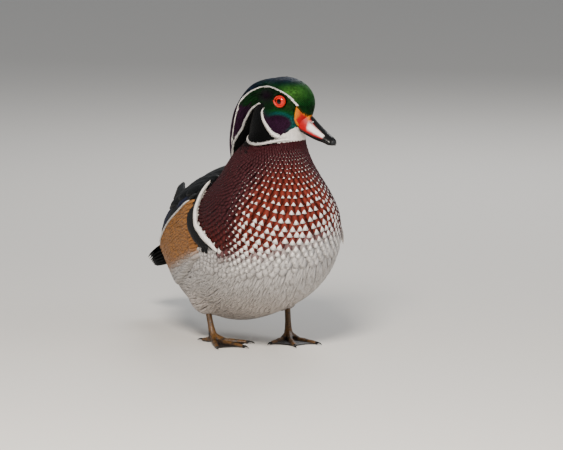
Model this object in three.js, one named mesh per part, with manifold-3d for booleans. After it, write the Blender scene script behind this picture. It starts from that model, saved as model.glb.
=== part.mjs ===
// Wood duck drake, a life-size still model that stands on the floor with its head turned to its left.
// Millimetres, +Z up. The bird faces -Y, its left side is +X, and the floor is z = 0.
import * as THREE from "three";
import { mergeVertices } from "three/addons/utils/BufferGeometryUtils.js";
import Module from "manifold-3d";

const wasm = await Module();
wasm.setup();

// Driving dimensions
const GAP = 0.3; // between two nodes that touch
const ORIGIN_Y = 48.4; // the middle of the bird's length, behind the middle of its feet
const RIGHT = -1;
const LEFT = 1;

// Flesh and body feathers, as rounded lobes that run together. Pitch dips a lobe's tail end, in degrees.
const BREAST = { at: [0, -50, 121], radii: [73, 79, 73], pitch: 0 };
const TRUNK = { at: [0, 20, 97], radii: [72, 104, 76], pitch: 12 };
const RUMP = { at: [0, 98, 101], radii: [46, 56, 38], pitch: 16 };
const BODY_BLEND = 34;
const NECK = { foot: [0, -71, 146], top: [4, -61, 226], footRadius: 50, topRadius: 27, blend: 24 };

// The head turns to the bird's left about the point between its eyes. Head places are [ahead, left, up].
const BETWEEN_EYES = new THREE.Vector3(13.6, -73.7, 260.5);
const HEAD_TURN = 32;
const SKULL = { at: [-7, 0, -3], radii: [36, 18.6, 29], pitch: 8 };
const CHEEKS = { at: [-6, 0, -22], radii: [25, 20, 21], pitch: 0 };
const HEAD_BLEND = 12;

// Eyes bulge from sockets, each with a ring of lid round it.
const EYE = { radius: 6.8, at: [0, 12.8, 0] };
const LID = { at: [0, 17.7, 0], ring: 5.9, cord: 1.6, stretch: [1.03, 1, 0.88] };

// Bill, by stations from inside the face to the tip: [ahead, half width, top, gape line]
const BILL = [
  [10, 11.5, 1, -23],
  [20, 11, -5, -28],
  [28, 10.2, -11.5, -31.5],
  [36, 9.2, -19, -34.5],
  [44, 8.6, -26.5, -36.5],
  [50, 8, -31.5, -38.5],
  [54, 6, -35, -41],
  [56.5, 2.6, -38.5, -42.5],
];
const JAW = { depth: 4.6, length: 0.86 };
const NOSTRIL = { at: [34.5, 9.2, -20.6], radii: [2.4, 1.6, 1.1] };

// Plates that the feathers of the wings and flanks grow from, by how far they stand off the body
const WING_PLATE = 3.4;
const FLANK_PLATE = 3;
const ROOM_LEVEL = 9;
const ROOM_EDGE = 3;

// Side outlines of the shells as [back, up]
const FLANK_OUTLINE = [
  [-24, 151],
  [14, 137],
  [54, 116],
  [80, 100],
  [89, 84],
  [84, 70],
  [60, 62],
  [47, 66],
  [10, 80],
  [-20, 91],
  [-44, 99],
  [-38, 125],
];
const PLUME_OUTLINE = [
  [82, 112],
  [102, 106],
  [112, 88],
  [104, 72],
  [88, 74],
];
const PLUME_ROOM = [
  [76, 64],
  [80, 90],
  [82, 113],
  [100, 117],
  [122, 104],
  [170, 96],
  [180, 40],
  [110, 30],
];
const WING_OUTLINE = [
  [-15, 150],
  [-10, 172],
  [4, 190],
  [60, 190],
  [118, 160],
  [124, 126],
  [112, 104],
  [92, 84],
  [60, 100],
  [10, 120],
  [-20, 134],
];

// Legs. The feet turn in by [right, left] degrees and stand flat on the floor.
const LEGS = {
  [RIGHT]: { thigh: [-41, 21, 46], top: [-42, 22, 50], joint: [-39.5, 6.5, 9], turnIn: 19 },
  [LEFT]: { thigh: [43, 11, 46], top: [46, 10, 50], joint: [40, -8, 9], turnIn: 15 },
};
const THIGH_RADII = [15, 18, 17];
const TARSUS = [4.6, 3.6, 3.2, 3.3, 4.2];
const ANKLE_CUT = 14;
const TOES = [
  { name: "inner", length: 38, spread: -37 },
  { name: "middle", length: 50, spread: 0 },
  { name: "outer", length: 44, spread: 35 },
  { name: "hind", length: 14, spread: 172 },
];
const TOE_THICKNESS = [3.7, 3.1, 3.3, 2.6, 2.9, 2.3, 2.4, 1.9];
const CLAW = { length: 7, radius: 1.5 };
const WEB = { thick: 1.4, reach: 0.93, dip: 0.8 };

const radians = THREE.MathUtils.degToRad;
const mix = THREE.MathUtils.lerp;
const vector = (x, y, z) => new THREE.Vector3(x, y, z);

const headTurn = new THREE.Matrix4().makeBasis(
  vector(Math.sin(radians(HEAD_TURN)), -Math.cos(radians(HEAD_TURN)), 0),
  vector(Math.cos(radians(HEAD_TURN)), Math.sin(radians(HEAD_TURN)), 0),
  vector(0, 0, 1),
);
const headFrame = headTurn.clone().setPosition(BETWEEN_EYES);
const headFrameBack = headFrame.clone().invert();
const onHead = (ahead, left, up) => vector(ahead, left, up).applyMatrix4(headFrame);

// Signed distance, negative inside, to a lobe whose first radius is across, second along and third up.
function lobeDistance(point, { at, radii, pitch }, alongX = false) {
  const slope = radians(pitch);
  const dx = point.x - at[0];
  const dy = point.y - at[1];
  const dz = point.z - at[2];
  const [across, along] = alongX ? [dy, -dx] : [dx, dy];
  const tailward = along * Math.cos(slope) - dz * Math.sin(slope);
  const upward = along * Math.sin(slope) + dz * Math.cos(slope);
  const [a, b, c] = alongX ? [radii[1], radii[0], radii[2]] : radii;
  const near = Math.hypot(across / a, tailward / b, upward / c);
  const steep = Math.hypot(across / (a * a), tailward / (b * b), upward / (c * c));
  return steep < 1e-9 ? -Math.min(a, b, c) : (near * (near - 1)) / steep;
}

function blend(first, second, reach) {
  const share = Math.max(reach - Math.abs(first - second), 0) / reach;
  return Math.min(first, second) - (share * share * reach) / 4;
}

function neckDistance(point) {
  const foot = vector(...NECK.foot);
  const line = vector(...NECK.top).sub(foot);
  const from = point.clone().sub(foot);
  const share = THREE.MathUtils.clamp(from.dot(line) / line.lengthSq(), 0, 1);
  return from.addScaledVector(line, -share).length() - mix(NECK.footRadius, NECK.topRadius, share);
}

function bodyDistance(point) {
  const trunk = blend(lobeDistance(point, BREAST), lobeDistance(point, TRUNK), BODY_BLEND);
  return blend(trunk, lobeDistance(point, RUMP), BODY_BLEND);
}

function fleshDistance(point) {
  const local = point.clone().applyMatrix4(headFrameBack);
  const head = blend(lobeDistance(local, SKULL, true), lobeDistance(local, CHEEKS, true), HEAD_BLEND);
  const column = blend(bodyDistance(point), neckDistance(point), NECK.blend);
  return blend(column, head, HEAD_BLEND);
}

// How far out along a ray the flesh, swollen by a level, ends.
function reachOf(distance, from, way, level) {
  const STEP = 3;
  const probe = vector(0, 0, 0);
  const at = (far) => distance(probe.copy(way).multiplyScalar(far).add(from)) - level;
  let inside = 0;
  while (at(inside + STEP) < 0) inside += STEP;
  let outside = inside + STEP;
  for (let halving = 0; halving < 24; halving++) {
    const middle = (inside + outside) / 2;
    if (at(middle) < 0) inside = middle;
    else outside = middle;
  }
  return inside;
}

function reshape(geometry, place) {
  const position = geometry.attributes.position;
  const point = vector(0, 0, 0);
  for (let i = 0; i < position.count; i++) {
    place(point.fromBufferAttribute(position, i));
    position.setXYZ(i, point.x, point.y, point.z);
  }
  return geometry;
}

function toSolid(geometry) {
  const bare = new THREE.BufferGeometry().setAttribute("position", geometry.attributes.position);
  if (geometry.index) bare.setIndex(geometry.index);
  const merged = mergeVertices(bare, 1e-4);
  return new wasm.Manifold(
    new wasm.Mesh({
      numProp: 3,
      vertProperties: merged.attributes.position.array,
      triVerts: new Uint32Array(merged.index.array),
    }),
  );
}

function toGeometry(solid) {
  const { vertProperties, triVerts, numProp } = solid.getMesh();
  const corners = new Float32Array((vertProperties.length / numProp) * 3);
  for (let i = 0; i * numProp < vertProperties.length; i++) {
    corners.set(vertProperties.subarray(i * numProp, i * numProp + 3), i * 3);
  }
  return new THREE.BufferGeometry()
    .setAttribute("position", new THREE.BufferAttribute(corners, 3))
    .setIndex(new THREE.BufferAttribute(triVerts, 1))
    .toNonIndexed();
}

const join = (solids) => wasm.Manifold.union(solids);

// The largest closed body, without the hollows that fusing seals or loose scraps.
function largest(solid) {
  return solid.decompose().reduce((best, body) => (body.volume() > best.volume() ? body : best));
}

// A skin round a centre, with the sphere's poles on the body's long axis.
function skin(distance, centre, level, around, along) {
  const tidy = (value) => Math.round(value * 1e7) / 1e7;
  return toSolid(
    reshape(new THREE.SphereGeometry(1, around, along), (point) => {
      const way = vector(tidy(point.x), tidy(point.y), tidy(point.z)).normalize();
      const reach = reachOf(distance, centre, way, level);
      point.copy(way).multiplyScalar(reach).add(centre);
    }),
  );
}

// Everything on the side of a plane that its normal points to.
function halfSpace(at, normal) {
  const SIZE = 700;
  const box = new THREE.BoxGeometry(SIZE, SIZE, SIZE).translate(0, 0, SIZE / 2);
  const turn = new THREE.Quaternion().setFromUnitVectors(vector(0, 0, 1), normal.clone().normalize());
  return toSolid(box.applyQuaternion(turn).translate(at.x, at.y, at.z));
}

// A closed tube whose section is given at each share of its path: half width, and height above and below.
function loft({ path, side, size, sides = 10, steps = 6 }) {
  const across = vector(0, 0, 0);
  const upward = vector(0, 0, 0);
  return toSolid(
    reshape(new THREE.CylinderGeometry(1, 1, 1, sides, steps), (point) => {
      const share = 0.5 - point.y;
      const [halfWidth, above, below] = size(share);
      const tangent = path.getTangent(share);
      upward.crossVectors(tangent, side).normalize();
      across.crossVectors(upward, tangent);
      const [x, z] = [point.x, point.z];
      point.copy(path.getPoint(share));
      point.addScaledVector(across, halfWidth * x).addScaledVector(upward, z > 0 ? above * z : below * z);
    }),
  );
}

// A value read off evenly spaced stations, eased between them.
function along(stations, share) {
  const place = THREE.MathUtils.clamp(share, 0, 1) * (stations.length - 1);
  const index = Math.min(Math.floor(place), stations.length - 2);
  return mix(stations[index], stations[index + 1], place - index);
}

const curve = (...points) => new THREE.CatmullRomCurve3(points);

// A flat feather along a bent path, split alike on both faces, widest past its middle.
function vane({ from, over, to, facing, tipFacing = facing, width, thick = 0.9, rows = 4, columns = 2, cup = 0.05 }) {
  const path = new THREE.QuadraticBezierCurve3(from, over, to);
  const spread = [0.5, 0.85, 1, 0.9, 0.28];
  const sheet = new THREE.PlaneGeometry(2, 1, columns, rows);
  const rim = [];
  const line = columns + 1;
  for (let i = 0; i < columns; i++) rim.push(i);
  for (let i = 0; i < rows; i++) rim.push(columns + i * line);
  for (let i = columns; i > 0; i--) rim.push(rows * line + i);
  for (let i = rows; i > 0; i--) rim.push(i * line);
  const count = sheet.attributes.position.count;
  const corners = [];
  for (const face of [1, -1]) {
    for (let i = 0; i < count; i++) {
      const x = sheet.attributes.position.getX(i);
      const share = 0.5 - sheet.attributes.position.getY(i);
      const tangent = path.getTangent(share);
      const normal = facing.clone().lerp(tipFacing, share);
      normal.addScaledVector(tangent, -normal.dot(tangent)).normalize();
      const across = tangent.clone().cross(normal);
      const half = (width / 2) * along(spread, share);
      const lift = (1 - x * x) * cup * width + face * (thick / 2) * (x === 0 ? 1 : 0.6);
      const point = path.getPoint(share).addScaledVector(across, x * half).addScaledVector(normal, lift);
      corners.push(point);
    }
  }
  const faces = [];
  const sheetFaces = sheet.index.array;
  for (let i = 0; i < sheetFaces.length; i += 3) {
    const [a, b, c] = sheetFaces.subarray(i, i + 3);
    faces.push(a, b, c, count + a, count + c, count + b);
  }
  rim.forEach((here, i) => {
    const next = rim[(i + 1) % rim.length];
    faces.push(here, next, count + next, here, count + next, count + here);
  });
  const geometry = new THREE.BufferGeometry().setFromPoints(corners).setIndex(faces);
  const solid = toSolid(geometry);
  if (solid.volume() > 0) return solid;
  for (let i = 0; i < faces.length; i += 3) [faces[i + 1], faces[i + 2]] = [faces[i + 2], faces[i + 1]];
  return toSolid(geometry.setIndex(faces));
}

// Places on the body by how far back they are and by clock angle: 0 on the back, 90 on the side, 180 below.
const bodyAxis = (back) => vector(0, back, mix(114, 92, (back + 50) / 170));
function onBody(side, back, clock, level = 0) {
  const way = vector(side * Math.sin(radians(clock)), 0, Math.cos(radians(clock)));
  const centre = bodyAxis(back);
  return centre.clone().addScaledVector(way, reachOf(bodyDistance, centre, way, level));
}
function outward(side, back, clock) {
  const STEP = 4;
  const here = onBody(side, back, clock);
  const behind = onBody(side, back + STEP, clock).sub(here);
  const round = onBody(side, back, clock + STEP).sub(here);
  return behind.cross(round).multiplyScalar(side).normalize();
}

// Cuts that part the neck from the torso and the head from the neck
const NECK_CUT = { at: vector(0, -52, 184), normal: vector(0, -0.12, 1).normalize() };
const HEAD_CUT = { at: BETWEEN_EYES.clone().add(vector(-6, 8, -41)), normal: vector(0.1, -0.2, 1).normalize() };
const OVERLAP = 24;

const beyond = (point, { at, normal }) => point.clone().sub(at).dot(normal) - OVERLAP;
const before = (point, { at, normal }) => -point.clone().sub(at).dot(normal) - OVERLAP;
const lift = ({ at, normal }, by) => at.clone().addScaledVector(normal, by);
const over = (cut, by) => halfSpace(lift(cut, by), cut.normal);
const under = (cut, by) => halfSpace(lift(cut, -by), cut.normal.clone().negate());

function torsoSkin(level) {
  const columnAndBody = (point) => blend(bodyDistance(point), neckDistance(point), NECK.blend);
  const distance = (point) => Math.max(columnAndBody(point), beyond(point, NECK_CUT));
  return skin(distance, vector(0, -12, 108), level, 32, 22);
}
function neckSkin(level) {
  const distance = (point) =>
    Math.max(fleshDistance(point), beyond(point, HEAD_CUT), before(point, NECK_CUT));
  return skin(distance, vector(2, -58, 205), level, 28, 14);
}
function headSkin(level) {
  const distance = (point) => Math.max(fleshDistance(point), before(point, HEAD_CUT));
  return skin(distance, onHead(-6, 0, -6), level, 28, 20);
}
const torsoCore = torsoSkin(GAP);
const neckCore = neckSkin(GAP);
const headCore = headSkin(GAP);

const ball = (at, radius, around = 16) =>
  toSolid(new THREE.SphereGeometry(radius, around, around / 2 + 2).translate(at.x, at.y, at.z));
function eyeBall(side, grow = 0) {
  const [ahead, out, up] = EYE.at;
  return ball(onHead(ahead, side * out, up), EYE.radius + grow);
}
function lidRing(side, grow = 0) {
  const [ahead, out, up] = LID.at;
  const ring = new THREE.TorusGeometry(LID.ring, LID.cord + grow, 5, 14).rotateX(Math.PI / 2);
  ring.scale(...LID.stretch).translate(ahead, side * out, up);
  return toSolid(ring.applyMatrix4(headFrame));
}

// The bill, lofted between the line of its top and the line of its gape
const sideways = vector(0, 1, 0).transformDirection(headTurn);
const gapePath = curve(...BILL.map(([ahead, , , gape]) => onHead(ahead, 0, gape)));
const halfWidths = BILL.map(([, half]) => half);
const depths = BILL.map(([, , top, gape]) => top - gape);
const billLoft = (size) => loft({ path: gapePath, side: sideways, size, sides: 12, steps: 10 });
const upperBill = billLoft((share) => [along(halfWidths, share), along(depths, share), 0.9]);
const jawDepth = (share) => JAW.depth * Math.min(1, 4 * Math.max(JAW.length - share, 0.02));
const jaw = billLoft((share) => [along(halfWidths, share) - 1.2, 0.1, jawDepth(share)]);
const nostril = (side) => {
  const [ahead, out, up] = NOSTRIL.at;
  const hole = new THREE.SphereGeometry(1, 10, 8).scale(...NOSTRIL.radii);
  return toSolid(hole.translate(ahead, side * out, up).applyMatrix4(headFrame));
};

// A prism across the bird from a side outline
function sidePrism(outline, [near, far]) {
  const loop = new THREE.CatmullRomCurve3(outline.map(([back, up]) => vector(back, up, 0)), true);
  const shape = new THREE.Shape(loop.getPoints(28).slice(0, -1));
  const prism = new THREE.ExtrudeGeometry(shape, { depth: far - near, bevelEnabled: false });
  const turn = new THREE.Matrix4().makeBasis(vector(0, 1, 0), vector(0, 0, 1), vector(1, 0, 0));
  return toSolid(prism.applyMatrix4(turn).translate(near, 0, 0));
}
const sideSpan = (side) => (side === RIGHT ? [-150, -GAP] : [GAP, 150]);
function swell(solid, by) {
  const moves = [[0, by], [0, -by], [by, 0], [-by, 0]];
  return join(moves.map(([back, up]) => solid.translate(0, back, up)));
}


// Small differences from one feather to the next, the same every time
let seed = 7;
function jitter(reach) {
  seed = (seed * 16807) % 2147483647;
  return reach * ((2 * seed) / 2147483647 - 1);
}

// Rows of feathers on a side of the body. Each row runs from its first feather to its last, with roots and
// tips as [back, clock], and its feathers lean on one another by a roll in degrees.
const FLANK_ROWS = [
  { count: 3, roots: [[-32, 68], [-36, 98]], tips: [[8, 70], [0, 108]], width: 36 },
  { count: 3, roots: [[-6, 68], [-8, 110]], tips: [[44, 78], [40, 117]], width: 38 },
  { count: 3, roots: [[34, 80], [34, 116]], tips: [[90, 91], [84, 121]], width: 33 },
];
const WING_ROWS = [
  { count: 4, roots: [[44, 62], [38, 84]], tips: [[124, 48], [108, 80]], width: 22, level: 1.6, rise: 3 },
  { count: 2, roots: [[64, 16], [60, 34]], tips: [[142, 16], [130, 40]], width: 29, level: 3, rise: 5 },
  { count: 4, roots: [[10, 50], [4, 76]], tips: [[64, 52], [58, 78]], width: 26, rise: 2.8 },
  { count: 3, roots: [[36, 11], [32, 44]], tips: [[100, 12], [90, 48]], width: 31, level: 2.6, rise: 4 },
  { count: 3, roots: [[4, 11], [-2, 40]], tips: [[60, 12], [48, 45]], width: 31, rise: 4.4 },
];
const PLUME_ROWS = [
  { count: 3, roots: [[82, 76], [84, 106]], tips: [[138, 96], [124, 126]], width: 19, level: 1, rise: 4 },
  { count: 2, roots: [[94, 74], [94, 94]], tips: [[156, 118], [146, 136]], width: 17, level: 1.4, rise: 7 },
];
const PRIMARIES = { count: 4, root: [64, 44], over: [34, 118, 146], tip: [9, 161, 147], apart: [4.5, -8, -1.4] };

function row(side, { count, roots, tips, width, level = 2, rise = 3, roll = 9 }) {
  return Array.from({ length: count }, (_, i) => {
    const share = i / (count - 1);
    const rootBack = mix(roots[0][0], roots[1][0], share);
    const rootClock = mix(roots[0][1], roots[1][1], share);
    const tipBack = mix(tips[0][0], tips[1][0], share) + jitter(2.5);
    const tipClock = mix(tips[0][1], tips[1][1], share) + jitter(1);
    const from = onBody(side, rootBack, rootClock, level - 1.5);
    const to = onBody(side, tipBack, tipClock, level + rise);
    const middle = onBody(side, (rootBack + tipBack) / 2, (rootClock + tipClock) / 2, level + rise * 0.75);
    const between = middle.multiplyScalar(2).addScaledVector(from, -0.5).addScaledVector(to, -0.5);
    const lean = new THREE.Quaternion().setFromAxisAngle(to.clone().sub(from).normalize(), -side * radians(roll));
    const facing = outward(side, rootBack, rootClock).applyQuaternion(lean);
    const tipFacing = outward(side, tipBack, tipClock).applyQuaternion(lean);
    return vane({ from, over: between, to, facing, tipFacing, width, rows: 3, columns: 1 });
  });
}

function plate(side, outline, level) {
  return sidePrism(outline, sideSpan(side)).intersect(torsoSkin(level));
}
// The room that a group of feathers keeps to itself, as its outline pushed out all round
function room(side, outline, by) {
  return swell(sidePrism(outline, sideSpan(side)), by).intersect(torsoSkin(ROOM_LEVEL + by));
}
function flank(side) {
  seed = 11;
  const feathers = FLANK_ROWS.flatMap((details) => row(side, details));
  const whole = join([plate(side, FLANK_OUTLINE, FLANK_PLATE), ...feathers]);
  return whole.intersect(room(side, FLANK_OUTLINE, ROOM_EDGE)).subtract(neckCore).subtract(torsoCore);
}
function plumes(side) {
  seed = 13;
  const feathers = PLUME_ROWS.flatMap((details) => row(side, details));
  const whole = join([plate(side, PLUME_OUTLINE, FLANK_PLATE), ...feathers]);
  const others = [room(side, FLANK_OUTLINE, ROOM_EDGE + GAP * 1.2), torsoCore, swell(tail(), GAP * 1.2)];
  return others.reduce((solid, other) => solid.subtract(other), whole.intersect(room(side, PLUME_ROOM, 0)));
}
function primaries(side) {
  const { count, root, over: above, tip, apart } = PRIMARIES;
  return Array.from({ length: count }, (_, i) => {
    const shifted = tip.map((value, axis) => value + i * apart[axis]);
    const lowered = above[2] - 1.3 * i;
    return vane({
      from: onBody(side, root[0], root[1], 3),
      over: vector(side * (above[0] + 3 * i), above[1] - 4 * i, lowered),
      to: vector(side * shifted[0], shifted[1], shifted[2]),
      facing: vector(side * 0.7, 0, 0.7),
      tipFacing: vector(side * 0.35, 0.1, 1),
      width: 13,
      rows: 4,
    });
  });
}
function wing(side) {
  seed = 17;
  const feathers = WING_ROWS.flatMap((details) => row(side, details));
  const whole = join([plate(side, WING_OUTLINE, WING_PLATE), ...feathers, ...primaries(side)]);
  const ownSide = halfSpace(vector(side * GAP, 0, 0), vector(side, 0, 0));
  const flankRoom = room(side, FLANK_OUTLINE, ROOM_EDGE + GAP * 1.2);
  const plumeRoom = room(side, PLUME_ROOM, GAP * 1.2);
  const others = [flankRoom, plumeRoom, torsoCore, neckCore];
  return others.reduce((solid, other) => solid.subtract(other), whole.intersect(ownSide));
}

// Tail feathers by pairs from the middle pair outwards, each pair under the one before it
const TAIL = { base: [0, 126, 101], tip: [0, 227, 61], pairs: 6, width: 15, apart: 3.6, stack: 1.2, shorter: 3.6 };
const TAIL_COVERTS = [
  { count: 3, length: 46, width: 17, from: [4, 118, 104], apart: [10, -3, -5], drop: -17 },
  { count: 3, length: 40, width: 18, from: [4, 104, 118], apart: [10, -2, -7], drop: -14 },
];
function tailBase() {
  const side = vector(-1, 0, 0);
  const sizes = (...stations) => (share) => stations.map((values) => along(values, share));
  const root = curve(vector(0, 120, 97), vector(0, 150, 90), vector(0, 182, 81));
  const rootSize = sizes([22, 26, 22], [12, 8, 2], [14, 10, 4]);
  const below = curve(vector(0, 104, 76), vector(0, 140, 66), vector(0, 178, 70));
  const belowSize = sizes([32, 30, 22, 10], [16, 20, 18, 6], [13, 14, 8, 2]);
  return join([
    loft({ path: root, side, size: rootSize, sides: 12, steps: 4 }),
    loft({ path: below, side, size: belowSize, sides: 12, steps: 6 }),
  ]);
}
function tail() {
  const parts = [tailBase()];
  for (const side of [RIGHT, LEFT]) {
    for (let i = 0; i < TAIL.pairs; i++) {
      const out = side * (TAIL.width / 2 - 3 + TAIL.apart * i);
      const low = -TAIL.stack * i;
      const [, baseBack, baseUp] = TAIL.base;
      const [, tipBack, tipUp] = TAIL.tip;
      parts.push(
        vane({
          from: vector(out * 0.5, baseBack, baseUp - 8 + low),
          over: vector(out * 0.9, (baseBack + tipBack) / 2 + 6, 90 + low),
          to: vector(out * 1.05, tipBack - TAIL.shorter * i, tipUp + low + 1.1 * i),
          facing: vector(0, 0, 1),
          width: TAIL.width,
          rows: 4,
          cup: 0.02,
        }),
      );
    }
    for (const { count, length, width, from, apart, drop } of TAIL_COVERTS) {
      for (let i = 0; i < count; i++) {
        const at = from.map((value, axis) => value + i * apart[axis]);
        const base = vector(side * at[0], at[1], at[2]);
        const end = base.clone().add(vector(side * 2, length - 4 * i, drop - 2 * i));
        const bow = base.clone().lerp(end, 0.5).add(vector(0, 0, 4));
        const facing = vector(side * 0.3 * i, 0.2, 1);
        parts.push(vane({ from: base, over: bow, to: end, facing, width, rows: 2 }));
      }
    }
  }
  return join(parts).subtract(torsoCore);
}

// The crest: a smooth core with locks laid over it that run to its drooping tip
const CREST_LOCKS = 5;
function lock(points, width) {
  const size = (share) => {
    const half = width * along([0.45, 1, 0.9, 0.55, 0.12], share);
    return [half, half * 0.62, half * 0.62];
  };
  return loft({ path: curve(...points.map((at) => onHead(...at))), side: sideways, size, sides: 5, steps: 5 });
}
function crest() {
  const path = curve(onHead(-10, 0, 8), onHead(-38, 0, -2), onHead(-55, 0, -22), onHead(-66, 0, -58));
  const half = [13, 14, 11, 7, 2.5];
  const above = [13, 16, 14, 10, 3];
  const core = (share) => [along(half, share), along(above, share), along(above, share)];
  const parts = [loft({ path, side: sideways, size: core, sides: 12, steps: 8 })];
  for (const side of [RIGHT, LEFT]) {
    for (let i = 0; i < CREST_LOCKS; i++) {
      const out = 2.6 + 2.6 * i;
      parts.push(
        lock(
          [
            [-6 - i, side * out, 24 - 1.3 * i * i],
            [-36 - 0.6 * i, side * (out + 1), 19.5 - 6.6 * i],
            [-63 + 1.8 * i, side * (3.6 + i * 1.5), -12 - 6 * i],
            [-71 + 3.4 * i, side * (1.6 + i), -66 + 6.4 * i],
          ],
          5,
        ),
      );
    }
  }
  return join(parts).subtract(headCore).subtract(neckCore).subtract(torsoCore);
}

// Legs and feet
function thighLobe(side) {
  const { thigh } = LEGS[side];
  return toSolid(new THREE.SphereGeometry(1, 16, 12).scale(...THIGH_RADII).translate(...thigh));
}
function tarsus(side, grow = 0) {
  const { top, joint } = LEGS[side];
  const path = new THREE.LineCurve3(vector(...top), vector(...joint));
  const size = (share) => Array(3).fill(along(TARSUS, share) + grow);
  return loft({ path, side: vector(1, 0, 0), size, sides: 9, steps: 4 });
}
const onlyAbove = (height) => halfSpace(vector(0, 0, height), vector(0, 0, 1));
const onlyBelow = (height) => halfSpace(vector(0, 0, height), vector(0, 0, -1));

function toePlaces(side, { length, spread }) {
  const { joint, turnIn } = LEGS[side];
  const heading = radians(side * (spread - turnIn) - 90);
  const way = vector(Math.cos(heading), Math.sin(heading), 0);
  const from = vector(...joint);
  const floor = from.clone().setZ(0);
  const tip = floor.clone().addScaledVector(way, length).setZ(1.7);
  return { way, from, floor, tip };
}
function toe(side, kind) {
  const { way, from, floor, tip } = toePlaces(side, kind);
  const knuckle = floor.clone().addScaledVector(way, kind.length * 0.3).setZ(3.1);
  const middle = floor.clone().addScaledVector(way, kind.length * 0.65).setZ(2.2);
  const path = curve(from, knuckle, middle, tip);
  const size = (share) => Array(3).fill(along(TOE_THICKNESS, share));
  return loft({ path, side: way.clone().cross(vector(0, 0, -1)), size, sides: 6, steps: 7 });
}
function claw(side, kind, grow = 0) {
  const { way, tip } = toePlaces(side, kind);
  const at = (far, up) => tip.clone().addScaledVector(way, far).setZ(up);
  const path = new THREE.QuadraticBezierCurve3(at(-2, 2.1), at(CLAW.length * 0.6, 3), at(CLAW.length, 0.5));
  const size = (share) => Array(3).fill(mix(CLAW.radius, 0.35, share) + grow);
  const solid = loft({ path, side: way.clone().cross(vector(0, 0, -1)), size, sides: 6, steps: 4 });
  return solid.intersect(onlyAbove(0));
}
function web(side, first, second) {
  const { floor } = toePlaces(side, first);
  const [one, two] = [first, second].map((kind) => toePlaces(side, kind).tip.clone().sub(floor).setZ(0));
  const reachOne = one.multiplyScalar(WEB.reach);
  const reachTwo = two.multiplyScalar(WEB.reach);
  const dip = reachOne.clone().add(reachTwo).multiplyScalar(0.5 * WEB.dip);
  const shape = new THREE.Shape().moveTo(0, 0).lineTo(reachOne.x, reachOne.y);
  shape.quadraticCurveTo(dip.x, dip.y, reachTwo.x, reachTwo.y).closePath();
  const sheet = new THREE.ExtrudeGeometry(shape, { depth: WEB.thick, bevelEnabled: false, curveSegments: 6 });
  return toSolid(sheet.translate(floor.x, floor.y, 0));
}
function foot(side) {
  const [inner, middle, outer] = TOES;
  const parts = TOES.map((kind) => toe(side, kind));
  parts.push(web(side, inner, middle), web(side, middle, outer));
  parts.push(ball(vector(...LEGS[side].joint), 4.7, 8), tarsus(side).intersect(onlyBelow(ANKLE_CUT - GAP)));
  const whole = join(parts).intersect(onlyAbove(0));
  return TOES.reduce((solid, kind) => solid.subtract(claw(side, kind, GAP)), whole);
}

const group = new THREE.Group();
function addNode(name, solid, material) {
  const mesh = new THREE.Mesh(toGeometry(largest(solid)), material);
  mesh.name = name;
  group.add(mesh);
}

const paint = (color, roughness = 0.7) => new THREE.MeshStandardMaterial({ color, roughness, metalness: 0 });
const maroon = paint(0x5a2424);
const iridescentGreen = paint(0x1e4a2c, 0.4);
const eyeRed = paint(0xd81f1a, 0.2);
const lidRed = paint(0xd8482a, 0.5);
const billRed = paint(0xb8352f, 0.4);
const billPale = paint(0xd9b9a8, 0.4);
const buff = paint(0xb08a4c);
const blueBlack = paint(0x161a26, 0.45);
const legYellow = paint(0x9a7a3c, 0.6);
const clawBlack = paint(0x1c1816, 0.5);

addNode("torso", torsoSkin(0).intersect(under(NECK_CUT, GAP / 2)), maroon);
addNode("neck", neckSkin(0).intersect(over(NECK_CUT, GAP / 2)).intersect(under(HEAD_CUT, GAP / 2)), maroon);
const sockets = join([RIGHT, LEFT].flatMap((side) => [eyeBall(side, GAP), lidRing(side, GAP)]));
addNode("head", headSkin(0).intersect(over(HEAD_CUT, GAP / 2)).subtract(sockets), iridescentGreen);
addNode("crest", crest(), iridescentGreen);
const nostrils = join([nostril(RIGHT), nostril(LEFT)]);
addNode("bill_upper", upperBill.subtract(headCore).subtract(nostrils), billRed);
addNode("bill_lower", jaw.subtract(headCore).subtract(upperBill.translate(0, 0, -GAP)), billPale);
addNode("tail", tail(), blueBlack);

for (const side of [RIGHT, LEFT]) {
  const hand = side === RIGHT ? "R" : "L";
  addNode(`eye_${hand}`, eyeBall(side), eyeRed);
  addNode(`eyelid_${hand}`, lidRing(side).subtract(eyeBall(side, GAP)), lidRed);
  addNode(`wing_${hand}`, wing(side), blueBlack);
  addNode(`flank_${hand}`, flank(side), buff);
  addNode(`rump_plumes_${hand}`, plumes(side), maroon);
  addNode(`thigh_${hand}`, thighLobe(side).subtract(torsoCore).subtract(tarsus(side, GAP)), maroon);
  addNode(`leg_${hand}`, tarsus(side).intersect(onlyAbove(ANKLE_CUT)).subtract(torsoCore), legYellow);
  addNode(`foot_${hand}`, foot(side), legYellow);
  TOES.forEach((kind) => addNode(`claw_${hand}_${kind.name}`, claw(side, kind), clawBlack));
}

group.position.set(0, -ORIGIN_Y, 0);
export default group;
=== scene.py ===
"""A drake wood duck in full plumage, life size, standing with its head turned to its left."""
import math
import bmesh
import bpy
import numpy as np
from mathutils import Matrix, Vector


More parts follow.
